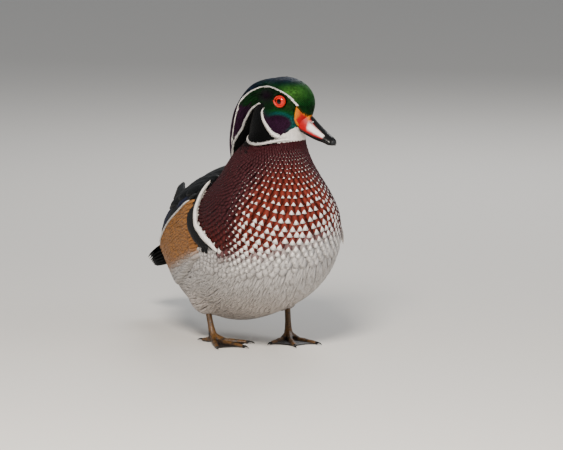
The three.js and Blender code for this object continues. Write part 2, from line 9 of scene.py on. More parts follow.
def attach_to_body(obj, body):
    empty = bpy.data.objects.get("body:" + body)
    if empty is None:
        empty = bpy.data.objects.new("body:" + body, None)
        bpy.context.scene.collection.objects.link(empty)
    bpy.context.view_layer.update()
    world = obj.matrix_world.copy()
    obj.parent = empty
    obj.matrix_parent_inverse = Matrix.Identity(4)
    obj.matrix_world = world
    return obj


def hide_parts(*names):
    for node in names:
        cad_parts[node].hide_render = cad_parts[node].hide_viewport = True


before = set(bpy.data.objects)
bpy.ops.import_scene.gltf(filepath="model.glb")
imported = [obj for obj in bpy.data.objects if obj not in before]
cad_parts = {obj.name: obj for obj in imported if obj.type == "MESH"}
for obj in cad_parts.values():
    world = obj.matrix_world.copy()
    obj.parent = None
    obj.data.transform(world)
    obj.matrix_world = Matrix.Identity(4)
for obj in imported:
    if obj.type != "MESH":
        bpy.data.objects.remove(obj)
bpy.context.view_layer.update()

bl_info = {
    "name": "Wood duck drake",
    "version": (1, 0, 0),
    "blender": (4, 5, 0),
    "location": "3D View > Sidebar > Wood Duck",
    "description": "Dresses the solid wood duck in skin, feathers, bill, eyes and feet",
    "category": "Object",
}

RIGHT, LEFT = -1, 1
SIDES = ((RIGHT, "R"), (LEFT, "L"))

# Working coordinates are millimetres with the bird's left at +X, its tail at +Y and the floor at z = 0.
# Their origin lies this far in front of the frame's.
ORIGIN_Y = 48.4

# The flesh, as rounded lobes: where, radii across, along and up, and how far the tail end dips in degrees
BREAST = ((0, -50, 121), (73, 79, 73), 0)
TRUNK = ((0, 20, 97), (72, 104, 76), 12)
RUMP = ((0, 98, 101), (46, 56, 38), 16)
TAIL_ROOT = ((0, 138, 79), (27, 44, 17), 8)
NAPE = ((-4, -46, 180), (38, 32, 34), 0)
NECK_FOOT, NECK_TOP = (0, -71, 146), (4, -61, 226)
NECK_RADII = (50, 27)
BETWEEN_EYES = (13.6, -73.7, 260.5)
HEAD_TURN = math.radians(32)
SKULL = ((0, 7, -4.4), (18.6, 36, 27.2), 8)
CHEEKS = ((0, 6, -22), (20, 25, 21), 0)
THIGHS = {RIGHT: (-41, 21, 46), LEFT: (43, 11, 46)}
THIGH_RADII = (15, 18, 17)

AHEAD = np.array([math.sin(HEAD_TURN), -math.cos(HEAD_TURN), 0])
LEFTWARD = np.array([math.cos(HEAD_TURN), math.sin(HEAD_TURN), 0])
UP = np.array([0.0, 0.0, 1.0])


def metres(points):
    return (np.asarray(points, float) - (0, ORIGIN_Y, 0)) / 1000


def unit(v):
    return v / np.maximum(np.linalg.norm(v, axis=-1, keepdims=True), 1e-9)


def linear(code):
    """An sRGB hex code as linear red, green and blue."""
    parts = np.array([int(code[i:i + 2], 16) / 255 for i in (1, 3, 5)])
    return np.where(parts <= 0.04045, parts / 12.92, ((parts + 0.055) / 1.055) ** 2.4)


def colour(name, code, tells):
    return bpy.props.FloatVectorProperty(
        name=name, description=tells, subtype="COLOR", size=3, min=0, max=1, default=tuple(linear(code)))


def ease(low, high, value):
    share = np.clip((value - low) / (high - low), 0, 1)
    return share * share * (3 - 2 * share)


def mix(first, second, share):
    share = np.asarray(share)[..., None]
    return np.asarray(first) * (1 - share) + np.asarray(second) * share


def bump_at(ahead, up, at, size):
    """A round rise of height 1 in side view."""
    return np.exp(-((ahead - at[0]) / size[0]) ** 2 - ((up - at[1]) / size[1]) ** 2)


def read_line(line, at, axis=0):
    """Reads the height of a line that runs backward, or with axis 1 the place of one that runs down."""
    line = np.array(line, float)[::-1]
    return np.interp(at, line[:, axis], line[:, 1 - axis])


def arc(root, over, tip, rows=8):
    """Bent lines from root to tip, drawn toward the places over them."""
    t = np.linspace(0, 1, rows)[None, :, None]
    return (1 - t) ** 2 * root[:, None] + 2 * t * (1 - t) * over[:, None] + t ** 2 * tip[:, None]


# ---- Flesh ----------------------------------------------------------------------------------------

def lobe(p, at, radii, pitch):
    slope = math.radians(pitch)
    d = p - np.array(at, float)
    tailward = d[..., 1] * math.cos(slope) - d[..., 2] * math.sin(slope)
    upward = d[..., 1] * math.sin(slope) + d[..., 2] * math.cos(slope)
    q = np.stack([d[..., 0], tailward, upward], -1)
    radii = np.array(radii, float)
    near = np.linalg.norm(q / radii, axis=-1)
    steep = np.linalg.norm(q / radii ** 2, axis=-1)
    return near * (near - 1) / np.maximum(steep, 1e-9)


def blend(first, second, reach):
    share = np.maximum(reach - np.abs(first - second), 0) / reach
    return np.minimum(first, second) - share * share * reach / 4


def in_head(p):
    """Places as ahead, left and up from the point between the eyes."""
    d = p - np.array(BETWEEN_EYES)
    return np.stack([d @ AHEAD, d @ LEFTWARD, d[..., 2]], -1)


def on_head(ahead, left, up):
    parts = [np.asarray(a, float)[..., None] for a in np.broadcast_arrays(ahead, left, up)]
    return np.array(BETWEEN_EYES) + parts[0] * AHEAD + parts[1] * LEFTWARD + parts[2] * UP


def neck(p):
    foot, top = np.array(NECK_FOOT, float), np.array(NECK_TOP, float)
    line = top - foot
    share = np.clip((p - foot) @ line / (line @ line), 0, 1)
    radius = NECK_RADII[0] + (NECK_RADII[1] - NECK_RADII[0]) * share
    return np.linalg.norm(p - foot - share[..., None] * line, axis=-1) - radius


def trunk(p):
    return blend(blend(lobe(p, *BREAST), lobe(p, *TRUNK), 34), lobe(p, *RUMP), 34)


def body(p):
    whole = blend(trunk(p), lobe(p, *TAIL_ROOT), 14)
    for at in THIGHS.values():
        whole = blend(whole, lobe(p, at, THIGH_RADII, 0), 10)
    whole = blend(whole, neck(p), 24)
    return blend(whole, lobe(p, *NAPE), 16)


def skull(p):
    local = in_head(p)
    q = np.stack([local[..., 1], -local[..., 0], local[..., 2]], -1)
    socket = np.hypot(local[..., 0], local[..., 2]) / 8
    dip = 1.9 * np.exp(-socket ** 6) * (np.abs(local[..., 1]) > 8)
    return blend(lobe(q, *SKULL), lobe(q, *CHEEKS), 12) + dip


def flesh(p):
    return blend(body(p), skull(p), 12)


def normals_of(field, p, step=0.6):
    grown = [field(p + step * axis) - field(p - step * axis) for axis in np.eye(3)]
    return unit(np.stack(grown, -1))


def settle(field, p, level=0.0, rounds=3):
    """Moves points onto the skin, or to a level above it, and gives the way out there."""
    out = normals_of(field, p)
    for _ in range(rounds):
        p = p - (field(p) - level)[..., None] * out
        out = normals_of(field, p)
    return p, out


def reach(field, start, way, level=0.0, far=170.0):
    """How far out along each ray the flesh, swollen by a level, ends."""
    steps = np.arange(3.0, far, 3.0)
    ends = []
    for i in range(0, len(way), 4000):
        part = slice(i, i + 4000)
        at = start[part, None] + way[part, None] * steps[None, :, None]
        ends.append(steps[np.argmax(field(at) > level, axis=1)])
    high = np.concatenate(ends)
    low = high - 3
    for _ in range(16):
        middle = (low + high) / 2
        inner = field(start + way * middle[:, None]) < level
        low, high = np.where(inner, middle, low), np.where(inner, high, middle)
    return low


def on_trunk(side, back, clock, level):
    """Places on the trunk by how far back they are and by clock angle: 0 on the back, 180 below."""
    back, clock, level = np.broadcast_arrays(back, np.radians(clock), level)
    shape = back.shape
    back, clock, level = back.ravel(), clock.ravel(), level.ravel()
    centre = np.stack([0 * back, back, 114 - 22 * (back + 50) / 170], -1)
    way = np.stack([side * np.sin(clock), 0 * back, np.cos(clock)], -1)
    steps = reach(trunk, centre, way)
    at = centre + way * (steps + level)[:, None]
    return at.reshape(*shape, 3), normals_of(trunk, at).reshape(*shape, 3)


def inside(outline, y, z):
    """Whether side-view places lie within an outline."""
    line = np.array(outline, float)
    after = np.roll(line, -1, axis=0)
    within = np.zeros(y.shape, bool)
    for (y0, z0), (y1, z1) in zip(line, after):
        crosses = (z0 > z) != (z1 > z)
        within ^= crosses & (y < (y1 - y0) * (z - z0) / (z1 - z0 + 1e-12) + y0)
    return within


def shrink(outline, share):
    line = np.array(outline, float)
    return line.mean(0) + (line - line.mean(0)) * share


def off_line(p, line):
    """How far points lie from a bent line, in as many dimensions as the line has."""
    line = np.array(line, float)
    best = np.full(p.shape[:-1], 1e9)
    for a, b in zip(line, line[1:]):
        share = np.clip((p - a) @ (b - a) / ((b - a) @ (b - a)), 0, 1)
        best = np.minimum(best, np.linalg.norm(p - a - share[..., None] * (b - a), axis=-1))
    return best


def bend(points, shares):
    """A smooth curve through points, read at shares of its length."""
    pts = np.array(points, float)
    pts = np.vstack([2 * pts[0] - pts[1], pts, 2 * pts[-1] - pts[-2]])
    s = np.clip(np.asarray(shares, float), 0, 1) * (len(pts) - 3)
    i = np.minimum(s.astype(int), len(pts) - 4)
    t = (s - i)[..., None]
    p0, p1, p2, p3 = (pts[i + k] for k in range(4))
    return 0.5 * (2 * p1 + (p2 - p0) * t + (2 * p0 - 5 * p1 + 4 * p2 - p3) * t ** 2
                  + (3 * p1 - p0 - 3 * p2 + p3) * t ** 3)


# ---- Markings -------------------------------------------------------------------------------------

# Side views of the flank and the folded wing, as back and height
FLANK_OUTLINE = ((-24, 151), (14, 137), (54, 116), (80, 100), (89, 84), (84, 70), (60, 62), (47, 66),
                 (10, 80), (-20, 91), (-44, 99), (-38, 125))
WING_OUTLINE = ((-15, 150), (-10, 172), (4, 190), (60, 190), (118, 160), (124, 126), (112, 104),
                (92, 84), (60, 100), (10, 120), (-20, 134))
# The side bars, as side, back and height on the bird's right
WHITE_BAR = ((-48, -15, 171), (-52, -19, 168.5), (-58, -20, 162), (-64.5, -24, 154), (-69, -27.5, 145),
             (-72.6, -34.6, 137), (-73.6, -40, 131), (-74, -50, 126.5), (-73.4, -58, 122),
             (-71.3, -67, 118), (-69.5, -73, 114), (-66.6, -79.4, 110))
BLACK_BAR = ((-49, 3, 164), (-55, 5.5, 156), (-62, 2.5, 148.5), (-68, -8, 140.5), (-72.8, -20, 130),
             (-75, -32.5, 124), (-75, -44, 118), (-73.5, -56, 113))
# Side views of the head's lines, as ahead and up from the eye
BROW_LINE = ((18.5, -3.5), (17.4, -1.9), (11, 4.6), (4, 8.6), (-6, 12), (-16, 13.6), (-28, 12.2),
             (-36, 9.4), (-44, 5), (-55, -4), (-60, -18), (-64, -32), (-68, -48))
NAPE_LINE = ((-25, -3.5), (-33, -7), (-40, -12), (-44.5, -18), (-48, -23), (-53, -32), (-63, -45),
             (-66, -50), (-70.6, -65))
CHEEK_LINE = ((-18.6, -8), (-19.4, -12), (-17.3, -16), (-14, -20.5), (-10, -25), (-6, -30), (-2.7, -33),
              (3.7, -36))
COLLAR_LINE = ((-44.5, -32), (-43.5, -36.5), (-39.5, -40.5), (-33, -43), (-27, -44), (-19, -44),
               (-12, -43), (-6, -41.5), (1, -40), (7, -38.6), (11.5, -38.5))

# White painted under the stripes: line, whether its half width goes by ahead (0) or up (1), those places,
# the half widths there, and how far out from the head's middle it starts
PAINTED_STRIPES = (
    (BROW_LINE, 0, (-68, -20, 0, 18), (0.5, 0.25, 0.4, 0.9), 3),
    (NAPE_LINE, 0, (-70, -45, -25), (0.9, 0.9, 0.4), 2),
    (CHEEK_LINE, 1, (-36, -25, -8), (2.0, 1.1, 0.6), 6),
    (COLLAR_LINE, 0, (-50, -20, 5), (0.6, 0.8, 1.2), 3),
)


class PlumageSettings(bpy.types.PropertyGroup):
    coat_depth: bpy.props.FloatProperty(
        name="Coat depth", description="How far the skin lies under the solid flesh",
        default=0.0012, unit="LENGTH")
    breast_spacing: bpy.props.FloatProperty(
        name="Breast spacing", description="From one row of breast feathers to the next",
        default=0.0064, unit="LENGTH")
    head_feathers: bpy.props.IntProperty(
        name="Head feathers", description="How many small feathers cover the head", default=14000)
    chestnut: colour("Chestnut", "#6e2416", "Front of the breast")
    plum: colour("Plum", "#3a1117", "Sides of the breast and foot of the neck")
    chalk: colour("Chalk", "#f6f1ec", "Spots, stripes and throat")
    belly: colour("Belly", "#c4bfbc", "Belly")
    buff: colour("Buff", "#a87138", "Flanks")
    soot: colour("Soot", "#040506", "Back, wings and tail")
    gloss: colour("Gloss", "#091238", "Blue sheen of the wings and crest")
    green: colour("Green", "#0a3a14", "Crown and face")
    # Bronze: a painted highlight on the front of the crown, and, darkened, the face's own bronze before the
    # eye
    bronze_and_highlight: colour("Bronze", "#3c6c2a", "Lit front of the crown")
    teal: colour("Teal", "#06504a", "Rim of the cheek")
    violet: colour("Violet", "#200b1e", "Cheek and side of the crest")
    iris: colour("Iris", "#d00c06", "Iris of the eye")
    lid: colour("Lid", "#d82408", "Bare rim of the eye")
    bill_red: colour("Bill red", "#9c0509", "Sides of the bill")
    bill_yellow: colour("Bill yellow", "#c06a00", "Edge where the bill meets the face")
    bill_pale: colour("Bill pale", "#efe6e2", "Patch on each side of the bill")
    horn: colour("Horn", "#0c0b0c", "Nail and ridge of the bill, and the claws")
    leg: colour("Leg", "#7a5322", "Front of the legs and top of the toes")
    web: colour("Web", "#151212", "Webs and joints of the feet")


def settings():
    return bpy.context.scene.plumage


def tone(name):
    return np.array(getattr(settings(), name))


def plain(name, count, gain=1.0):
    """One colour for a number of feathers."""
    return np.broadcast_to(tone(name) * gain, (count, 3))


def throat_edge(ahead):
    """Height where the maroon breast begins under the collar."""
    return np.interp(ahead, (-60, -43, -27, -12, 1, 12, 30), (-40, -45.5, -46, -46, -43, -41, -40))


def head_marks(p):
    """Colour and shine of the small feathers of the head, neck ring and crest."""
    local = in_head(p)
    ahead, out, up = local[..., 0], np.abs(local[..., 1]), local[..., 2]
    side = np.stack([ahead, up], -1)
    brow, nape = read_line(BROW_LINE, ahead), read_line(NAPE_LINE, ahead)
    # Green crown with a painted bronze highlight on its front, and blue-black at the top and back
    crown = mix(tone("green"), tone("bronze_and_highlight") * 1.25, bump_at(ahead, up, (11, 9), (11, 7)))
    dark = np.maximum(ease(13.5, 22, up - 0.05 * ahead), ease(-14, -40, ahead))
    crown = mix(crown, mix(tone("soot"), tone("gloss"), 0.8), 0.85 * dark)
    # Dark green face, violet behind the eye and bronze before it
    face = mix(tone("green") * 0.55, tone("violet") * 0.7, bump_at(ahead, up, (-18, 5), (12, 7)))
    face = mix(face, tone("bronze_and_highlight") * 0.22, bump_at(ahead, up, (9, -4), (6, 8)))
    face = mix(face, tone("green") * 0.6, ease(-28, -50, ahead) * 0.9)
    mark = mix(face, crown, ease(-0.5, 1.0, up - brow))
    # Cheek, teal round a violet middle
    round_cheek = np.hypot((ahead - 0.5) / 15.5, (up + 22.0) / 10.5)
    upper = ease(-6, 8, ahead * 0.7 + (up + 22) * 1.0)
    cheek = mix(tone("violet") * 1.7, tone("teal"), ease(0.7, 0.95, round_cheek) * upper)
    cheek = mix(cheek, tone("green") * 1.2, ease(0.98, 1.25, round_cheek) * upper)
    edge = np.where(upper > 0.5, ease(1.65, 1.3, round_cheek), 1.0)
    mark = mix(mark, cheek, edge * (up < -8) * (ahead < 17))
    # Black behind the cheek bar and down the nape
    bar = read_line(CHEEK_LINE, up, 1)
    black = (ahead < bar) & (up < np.minimum(nape, -4) + 0.5)
    mark = np.where(black[..., None], tone("soot") * 0.7, mark)
    # White throat and stripes
    under = -27.5 - 0.72 * (14 - ahead)
    throat = (ahead > -8) & (up < np.maximum(under, -37.5)) | ((up < -30) & (ahead > 12))
    white = throat & (ahead > bar - 1)
    for line, axis, places, halves, least_out in PAINTED_STRIPES:
        half = np.interp(side[..., axis], places, halves)
        white |= (off_line(side, line) < half) & (out > least_out)
    mark = np.where(white[..., None], tone("chalk"), mark)
    # Maroon under the collar, but for the crest that hangs in front of it
    breast = up < throat_edge(ahead)
    crest = (ahead < -30) & (up > -72) | (off_line(side, NAPE_LINE) < 2)
    mark = np.where((breast & ~crest)[..., None], tone("plum"), mark)
    shine = np.where(white | breast | black, 0.0, 0.75)
    return mark, shine


# How far back the white bar lies, by height
BAR_BACK = ((90, 110, 114, 118, 122, 126.5, 131, 137, 145, 154, 162, 171, 190),
            (-74, -79, -73, -67, -58, -50, -40, -34.6, -27.5, -24, -20, -15, -8))


def breast_edge(x):
    """Height on the front of the bird where the chestnut ends."""
    return np.interp(x, (-70, -57, -45, -28, -8, 8, 26, 45, 70),
                     (110, 110, 112, 116, 121, 126, 130, 133, 132))


def body_marks(p):
    """Colour of each body feather and the size of its pale tip, both by where it lies."""
    x, y, z = p[..., 0], p[..., 1], p[..., 2]
    mirrored = np.stack([-np.abs(x), y, z], -1)
    edge = breast_edge(x)
    bar_back = np.interp(z, *BAR_BACK)
    front = np.maximum(ease(-88, -112, y), 0.35 * ease(150, 110, z))
    chest = mix(tone("plum"), tone("chestnut"), front * ease(215, 165, z))
    chest = mix(chest, tone("plum") * 2.2 + 0.06, 0.7 * ease(4, -8, z - edge))
    # Toward the bottom the belly turns darker and warmer: painted shade under the body and a painted warm
    # reflection from below
    belly = mix(tone("belly"), tone("belly") * (0.93, 0.88, 0.84), ease(75, 40, z))
    mark = mix(chest, belly, ease(-2, -18, z - edge))
    behind = (y > bar_back + 3) & (np.abs(x) > 20) | (y > 5)
    mark = np.where((behind & (z < 118))[..., None], belly, mark)
    back = (y > bar_back) & (z > 118) | (y > 60) & (z > 96)
    mark = np.where(back[..., None], tone("soot"), mark)
    rear = (y > 112) & (z < 92)
    mark = np.where(rear[..., None], tone("soot") * 1.4, mark)
    dusk = ease(88, 116, y) * (z < 96)
    mark = mix(mark, tone("soot"), dusk)
    white = off_line(mirrored, WHITE_BAR) < 2
    black = off_line(mirrored, BLACK_BAR) < 8
    mark = np.where((black & ~white)[..., None], tone("soot"), mark)
    mark = np.where(white[..., None], tone("chalk"), mark)
    # Pale tips grow from specks under the neck to triangles that meet over the belly
    reach_out = np.interp(z, (100, 127, 142, 157, 171, 186, 197, 213), (67, 64, 63, 59, 52, 42, 33, 25))
    across = reach_out - np.abs(x)
    size = np.interp(z - edge, (-30, -20, -8, 0, 30, 60, 92), (0.0, 3.4, 5.2, 5.4, 4.2, 2.2, 0.6))
    size = size * ease(-3, 12, across) * (y < -55) * (z < 214) * (z > edge - 30)
    size = np.where(white | black | behind, 0, size)
    return mark, size


# ---- Feather meshes -------------------------------------------------------------------------------

rng = np.random.default_rng(5)
LEAST_SPOT, NO_SPOT = 0.3, -2.0
PATCH_SIZE = 0.003


def attach(mesh, name, kind, values):
    """Stores a value at every point of a mesh."""
    field = {"FLOAT": "value", "FLOAT_VECTOR": "vector", "FLOAT_COLOR": "color"}[kind]
    layer = mesh.attributes.new(name, kind, "POINT")
    layer.data.foreach_set(field, values.astype(np.float32).ravel())


def attach_tint(mesh, tint):
    attach(mesh, "tint", "FLOAT_COLOR", np.concatenate([tint, np.ones((len(tint), 1))], 1))


class Coat:
    """Feathers that become one mesh. Each is a thin closed vane with a raised middle.

    Its points carry a tint, a shine and a vane: the way across, the way left to the tip, and the size of
    the pale spot there, in millimetres.
    """

    def __init__(self):
        self.points, self.tints, self.vanes, self.bakes, self.shines = [], [], [], [], []
        self.quads, self.caps = [], []
        self.count = 0

    def add(self, centres, normals, widths, spread, tint, place, spot=0.0, shine=0.0, columns=2,
            crown=0.09):
        """Adds feathers by their middle lines, the ways out and their width at every row."""
        number, rows = centres.shape[:2]
        if number == 0:
            return
        widths = np.broadcast_to(np.asarray(widths, float), (number,))
        spot = np.where(np.asarray(spot, float) > LEAST_SPOT, spot, NO_SPOT)
        along = unit(np.gradient(centres, axis=1))
        out = unit(normals - along * (normals * along).sum(-1, keepdims=True))
        across = np.cross(along, out)
        x = np.linspace(-1, 1, columns + 1)
        spread = np.asarray(spread)
        half = widths[:, None] / 2 * spread
        rise = crown * widths[:, None, None] * (1 - x ** 2) * np.minimum(spread * 1.5, 1)[None, :, None]
        points = (centres[:, :, None]
                  + across[:, :, None] * (x[None, None, :, None] * half[:, :, None, None])
                  + out[:, :, None] * rise[..., None])
        length = np.linalg.norm(np.diff(centres, axis=1), axis=-1)
        gone = np.concatenate([np.zeros((number, 1)), np.cumsum(length, axis=1)], 1)
        left = gone[:, -1:] - gone
        size = (number, rows, columns + 1)
        vane = np.stack([np.broadcast_to(each, size) for each in (
            x * half[:, :, None], left[:, :, None], spot.reshape(-1, 1, 1))], -1)
        tint = np.asarray(tint, float)
        tint = tint[:, None, None] if tint.ndim == 2 else tint[:, :, None] if tint.ndim == 3 else tint
        shine = np.broadcast_to(np.asarray(shine, float).reshape(-1, 1, 1), size)
        share = gone / gone[:, -1:]
        patch = np.stack([np.broadcast_to(x / 2, size), np.broadcast_to(share[:, :, None] - 0.5, size)], -1)
        self.points.append(points.reshape(-1, 3))
        self.tints.append(np.broadcast_to(tint, (*size, 3)).reshape(-1, 3))
        self.vanes.append(vane.reshape(-1, 3))
        self.shines.append(shine.reshape(-1))
        self.bakes.append((np.asarray(place)[:, None, None] + patch * PATCH_SIZE).reshape(-1, 2))
        c1 = columns + 1
        j, i = np.meshgrid(np.arange(rows - 1), np.arange(columns), indexing="ij")
        a = (j * c1 + i).ravel()
        top = np.stack([a, a + 1, a + 1 + c1, a + c1], -1)
        e = np.arange(rows - 1) * c1
        bottom = np.stack([e, e + c1, e + c1 + columns, e + columns], -1)
        cap = np.array([[0, *range(columns, 0, -1)], [(rows - 1) * c1 + k for k in range(c1)]])
        base = (self.count + np.arange(number) * rows * c1)[:, None, None]
        self.quads.append(((top[None] + base).reshape(-1, 4), (bottom[None] + base).reshape(-1, 4)))
        self.caps.append((cap[None] + base).reshape(-1, c1))
        self.count += number * rows * c1

    def build(self, name, material, nodes=()):
        groups = [(faces, sharp) for pair in self.quads for faces, sharp in zip(pair, (False, True))]
        groups += [(faces, True) for faces in self.caps]
        loops = np.concatenate([faces.ravel() for faces, _ in groups])
        totals = np.concatenate([np.full(len(faces), faces.shape[1]) for faces, _ in groups])
        flat = np.concatenate([np.full(len(faces), sharp) for faces, sharp in groups])
        mesh = bpy.data.meshes.new(name)
        points = metres(np.concatenate(self.points))
        mesh.vertices.add(len(points))
        mesh.vertices.foreach_set("co", points.astype(np.float32).ravel())
        mesh.loops.add(len(loops))
        mesh.loops.foreach_set("vertex_index", loops.astype(np.int32))
        mesh.polygons.add(len(totals))
        starts = np.concatenate([[0], np.cumsum(totals)[:-1]])
        mesh.polygons.foreach_set("loop_start", starts.astype(np.int32))
        mesh.update(calc_edges=True)
        mesh.attributes.new("sharp_face", "BOOLEAN", "FACE").data.foreach_set("value", flat)
        attach_tint(mesh, np.concatenate(self.tints))
        attach(mesh, "vane", "FLOAT_VECTOR", np.concatenate(self.vanes))
        attach(mesh, "shine", "FLOAT", np.concatenate(self.shines))
        bake = np.clip(np.concatenate(self.bakes), 0, 1)[loops]
        mesh.uv_layers.new(name="OFBake").data.foreach_set("uv", bake.astype(np.float32).ravel())
        mesh.materials.append(material)
        mesh.validate()
        return finished(mesh, name, nodes)


def in_scene(name, data):
    made = bpy.data.objects.new(name, data)
    bpy.context.scene.collection.objects.link(made)
    return made


def finished(mesh, name, nodes=()):
    """Puts a piece on the bird's body, in place of the CAD nodes that it covers."""
    piece = in_scene(name, mesh)
    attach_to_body(piece, "root")
    if nodes:
        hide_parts(*nodes)
    return piece


def lay(field, roots, ways, lengths, levels, rows):
    """Bends feathers over the flesh: their middle lines and the ways out along them."""
    here, out = settle(field, roots, 0.0, 2)
    step = np.asarray(lengths, float)[:, None] / (rows - 1)
    centres, outs = [], []
    way = ways
    for j in range(rows):
        centres.append(here)
        outs.append(out)
        way = unit(way - out * (way * out).sum(-1, keepdims=True))
        here = here + way * step
        here, out = settle(field, here, 0.0, 1)
    centres, outs = np.stack(centres, 1), np.stack(outs, 1)
    levels = np.asarray(levels, float)
    levels = levels[None, :, None] if levels.ndim == 1 else levels[:, :, None]
    return centres + outs * levels, outs


def around(p, centre):
    """A place's patch on the skin, unwrapped like a globe about a centre."""
    d = unit(p - np.array(centre, float))
    turn = np.arctan2(d[..., 0], -d[..., 2]) / (2 * math.pi) + 0.5
    rise = np.arcsin(np.clip(d[..., 1], -1, 1)) / math.pi + 0.5
    return np.stack([0.01 + 0.98 * turn, 0.01 + 0.98 * rise], -1)


BODY_MIDDLE = (0, 10, 110)
HEAD_MIDDLE = (-8.0, 0.0, -14.0)
# Back and height of the line behind the neck that the feather rows fan about
PIVOT = (25.0, 230.0)
# Millimetres from row to row, by degrees below the level of the pivot; breast_spacing applies from 28 to 60
ROW_DEGREES = (-6, 4, 14, 28, 60, 100, 152)


def body_lattice():
    """Rows of feathers on half planes fanned about a line behind the neck, each row staggered on the last."""
    roots, ways, spans = [], [], []
    turn, last = math.radians(ROW_DEGREES[0]), math.radians(ROW_DEGREES[-1])
    stagger = 0.0
    first = settings().breast_spacing * 1000
    while turn < last:
        spoke = np.array([0, -math.cos(turn), -math.sin(turn)])
        flow = np.array([0, math.sin(turn), -math.cos(turn)])
        pivot = np.array([0, *PIVOT])
        far = np.arange(20.0, 290.0, 2.0)
        within = body(pivot + spoke * far[:, None]) < 0
        degrees = math.degrees(turn)
        gap = np.interp(degrees, ROW_DEGREES, (1.7, 1.9, 3.4, first * 0.86, first, 7.4, 6.0))
        if not within.any():
            turn += gap / 120
            continue
        depth = far[within].max()
        centre = pivot + spoke * (depth + far[within].min()) / 2
        angle = np.linspace(0, 2 * math.pi, 361)
        rays = np.cos(angle)[:, None] * spoke + np.sin(angle)[:, None] * np.array([1.0, 0, 0])
        edge = centre + rays * reach(body, np.broadcast_to(centre, rays.shape), rays)[:, None]
        hub = np.linalg.norm((edge - pivot) * (0, 1, 1), axis=-1)
        wide = np.interp(degrees, (4, 20, 70, 90), (1.0, 1.3, 1.3, 0.8))
        pace = gap * np.clip(hub / depth, 0.42, 1) * wide
        middle = (pace[1:] + pace[:-1]) / 2
        pieces = np.linalg.norm(np.diff(edge, axis=0), axis=-1) / middle
        count = np.concatenate([[0], np.cumsum(pieces)])
        whole = max(int(round(count[-1])), 8)
        wanted = (np.arange(whole) + stagger) * count[-1] / whole
        at = np.stack([np.interp(wanted, count, edge[:, k]) for k in range(3)], -1)
        roots.append(at)
        ways.append(np.broadcast_to(flow, at.shape))
        spans.append(np.interp(wanted, count, pace))
        stagger = 0.5 - stagger
        turn += gap / depth
    return np.concatenate(roots), np.concatenate(ways), np.concatenate(spans)


# Shares of a feather's width at its rows, from root to tip
BODY_SPREAD = (0.45, 0.8, 1.0, 0.96, 0.66)
DOWN_SPREAD = (0.5, 1.0, 0.9, 0.6, 0.15)
FINE_SPREAD = (0.5, 1.0, 0.25)


def is_downy(roots):
    """Whether body feathers are soft down: below the spots of the breast, and over the whole rear half."""
    return (roots[:, 2] < breast_edge(roots[:, 0]) - 22) | (roots[:, 1] > 0)


class DUCK_OT_body_feathers(bpy.types.Operator):
    """Cover the neck, breast, belly and rump with overlapping feathers"""
    bl_idname = "duck.body_feathers"
    bl_label = "Body feathers"

    def execute(self, context):
        roots, ways, spans = body_lattice()
        local = in_head(roots)
        hidden = [inside(shrink(outline, 0.86), roots[:, 1], roots[:, 2])
                  for outline in (FLANK_OUTLINE, WING_OUTLINE)]
        hidden += [local[:, 2] > throat_edge(local[:, 0]) + 1.5, skull(roots) < -1, flesh(roots) < -2.5]
        keep = ~np.any(hidden, axis=0)
        roots, ways, spans = roots[keep], ways[keep], spans[keep]
        # Down lies closer than the breast feathers, with three more for each
        soft = is_downy(roots)
        extra = [roots[soft] + rng.uniform(-0.5, 0.5, (soft.sum(), 3)) * spans[soft, None]
                 for _ in range(3)]
        roots = np.concatenate([roots, *extra])
        ways = np.concatenate([ways, *[ways[soft]] * 3])
        spans = np.concatenate([spans, *[spans[soft]] * 3])
        roots = roots + rng.normal(0, 0.06, roots.shape) * spans[:, None]
        ways = unit(ways + rng.normal(0, 0.045, ways.shape))
        downy = is_downy(roots)
        number = len(roots)
        above = roots[:, 2] - breast_edge(roots[:, 0])
        lengths = spans * np.where(downy, rng.uniform(2.2, 3.6, number), rng.uniform(1.7, 1.9, number))
        # Roots are sunk and tips stand clear, less so where the breast runs into the belly
        levels = np.array([-0.9, -0.35, 0.2, 0.7, 1.0])[None] * np.clip(spans / 6, 0.35, 1.2)[:, None]
        flat = ease(8, -16, above)[:, None]
        levels = np.where(downy[:, None], levels * 0.38 + 0.1, levels * (0.8 - 0.45 * flat))
        levels = levels + rng.uniform(-0.15, 0.15, (number, 1)) * np.linspace(0, 1, 5)
        centres, outs = lay(flesh, roots, ways, lengths, levels, 5)
        mark, spot = body_marks(centres[:, 3])
        fleck = ease(-34, -8, above)[:, None] * rng.uniform(0, 1, (number, 1)) ** 3
        mark = mark * np.where(downy[:, None], rng.uniform(0.93, 1.04, (number, 1)) * (1 - 0.45 * fleck),
                               rng.uniform(0.86, 1.12, (number, 1)))
        spot = spot * np.clip(spans / 7.6, 0.3, 1.1) * rng.uniform(0.9, 1.1, number)
        place = around(roots, BODY_MIDDLE)
        shine = np.where(mark.sum(1) < 0.03, 0.3, 0.0)
        rear = roots[:, 1] > 60
        for zone, chosen, wide, spread, crown in (
                ("breast", ~downy, 1.2, BODY_SPREAD, 0.07), ("rear", downy & rear, 0.5, DOWN_SPREAD, 0.05),
                ("belly", downy & ~rear, 0.5, DOWN_SPREAD, 0.05)):
            coat = Coat()
            coat.add(centres[chosen], outs[chosen], spans[chosen] * wide, spread, mark[chosen], place[chosen],
                     spot[chosen], shine[chosen], crown=crown)
            coat.build(f"feathers_{zone}", contour_material())
        return {"FINISHED"}


# Rows of the side bars: share of the way from the white line to the black one, colour, width, length, lift
# and count
BAR_ROWS = (
    (1.05, "soot", 10, 22, 3.6, 24), (0.8, "soot", 10, 22, 3.5, 24), (0.55, "soot", 9, 20, 3.4, 26),
    (0.3, "soot", 8, 18, 3.3, 30), (0, "chalk", 7.2, 17, 4.0, 44))
BAR_LENGTH = 105


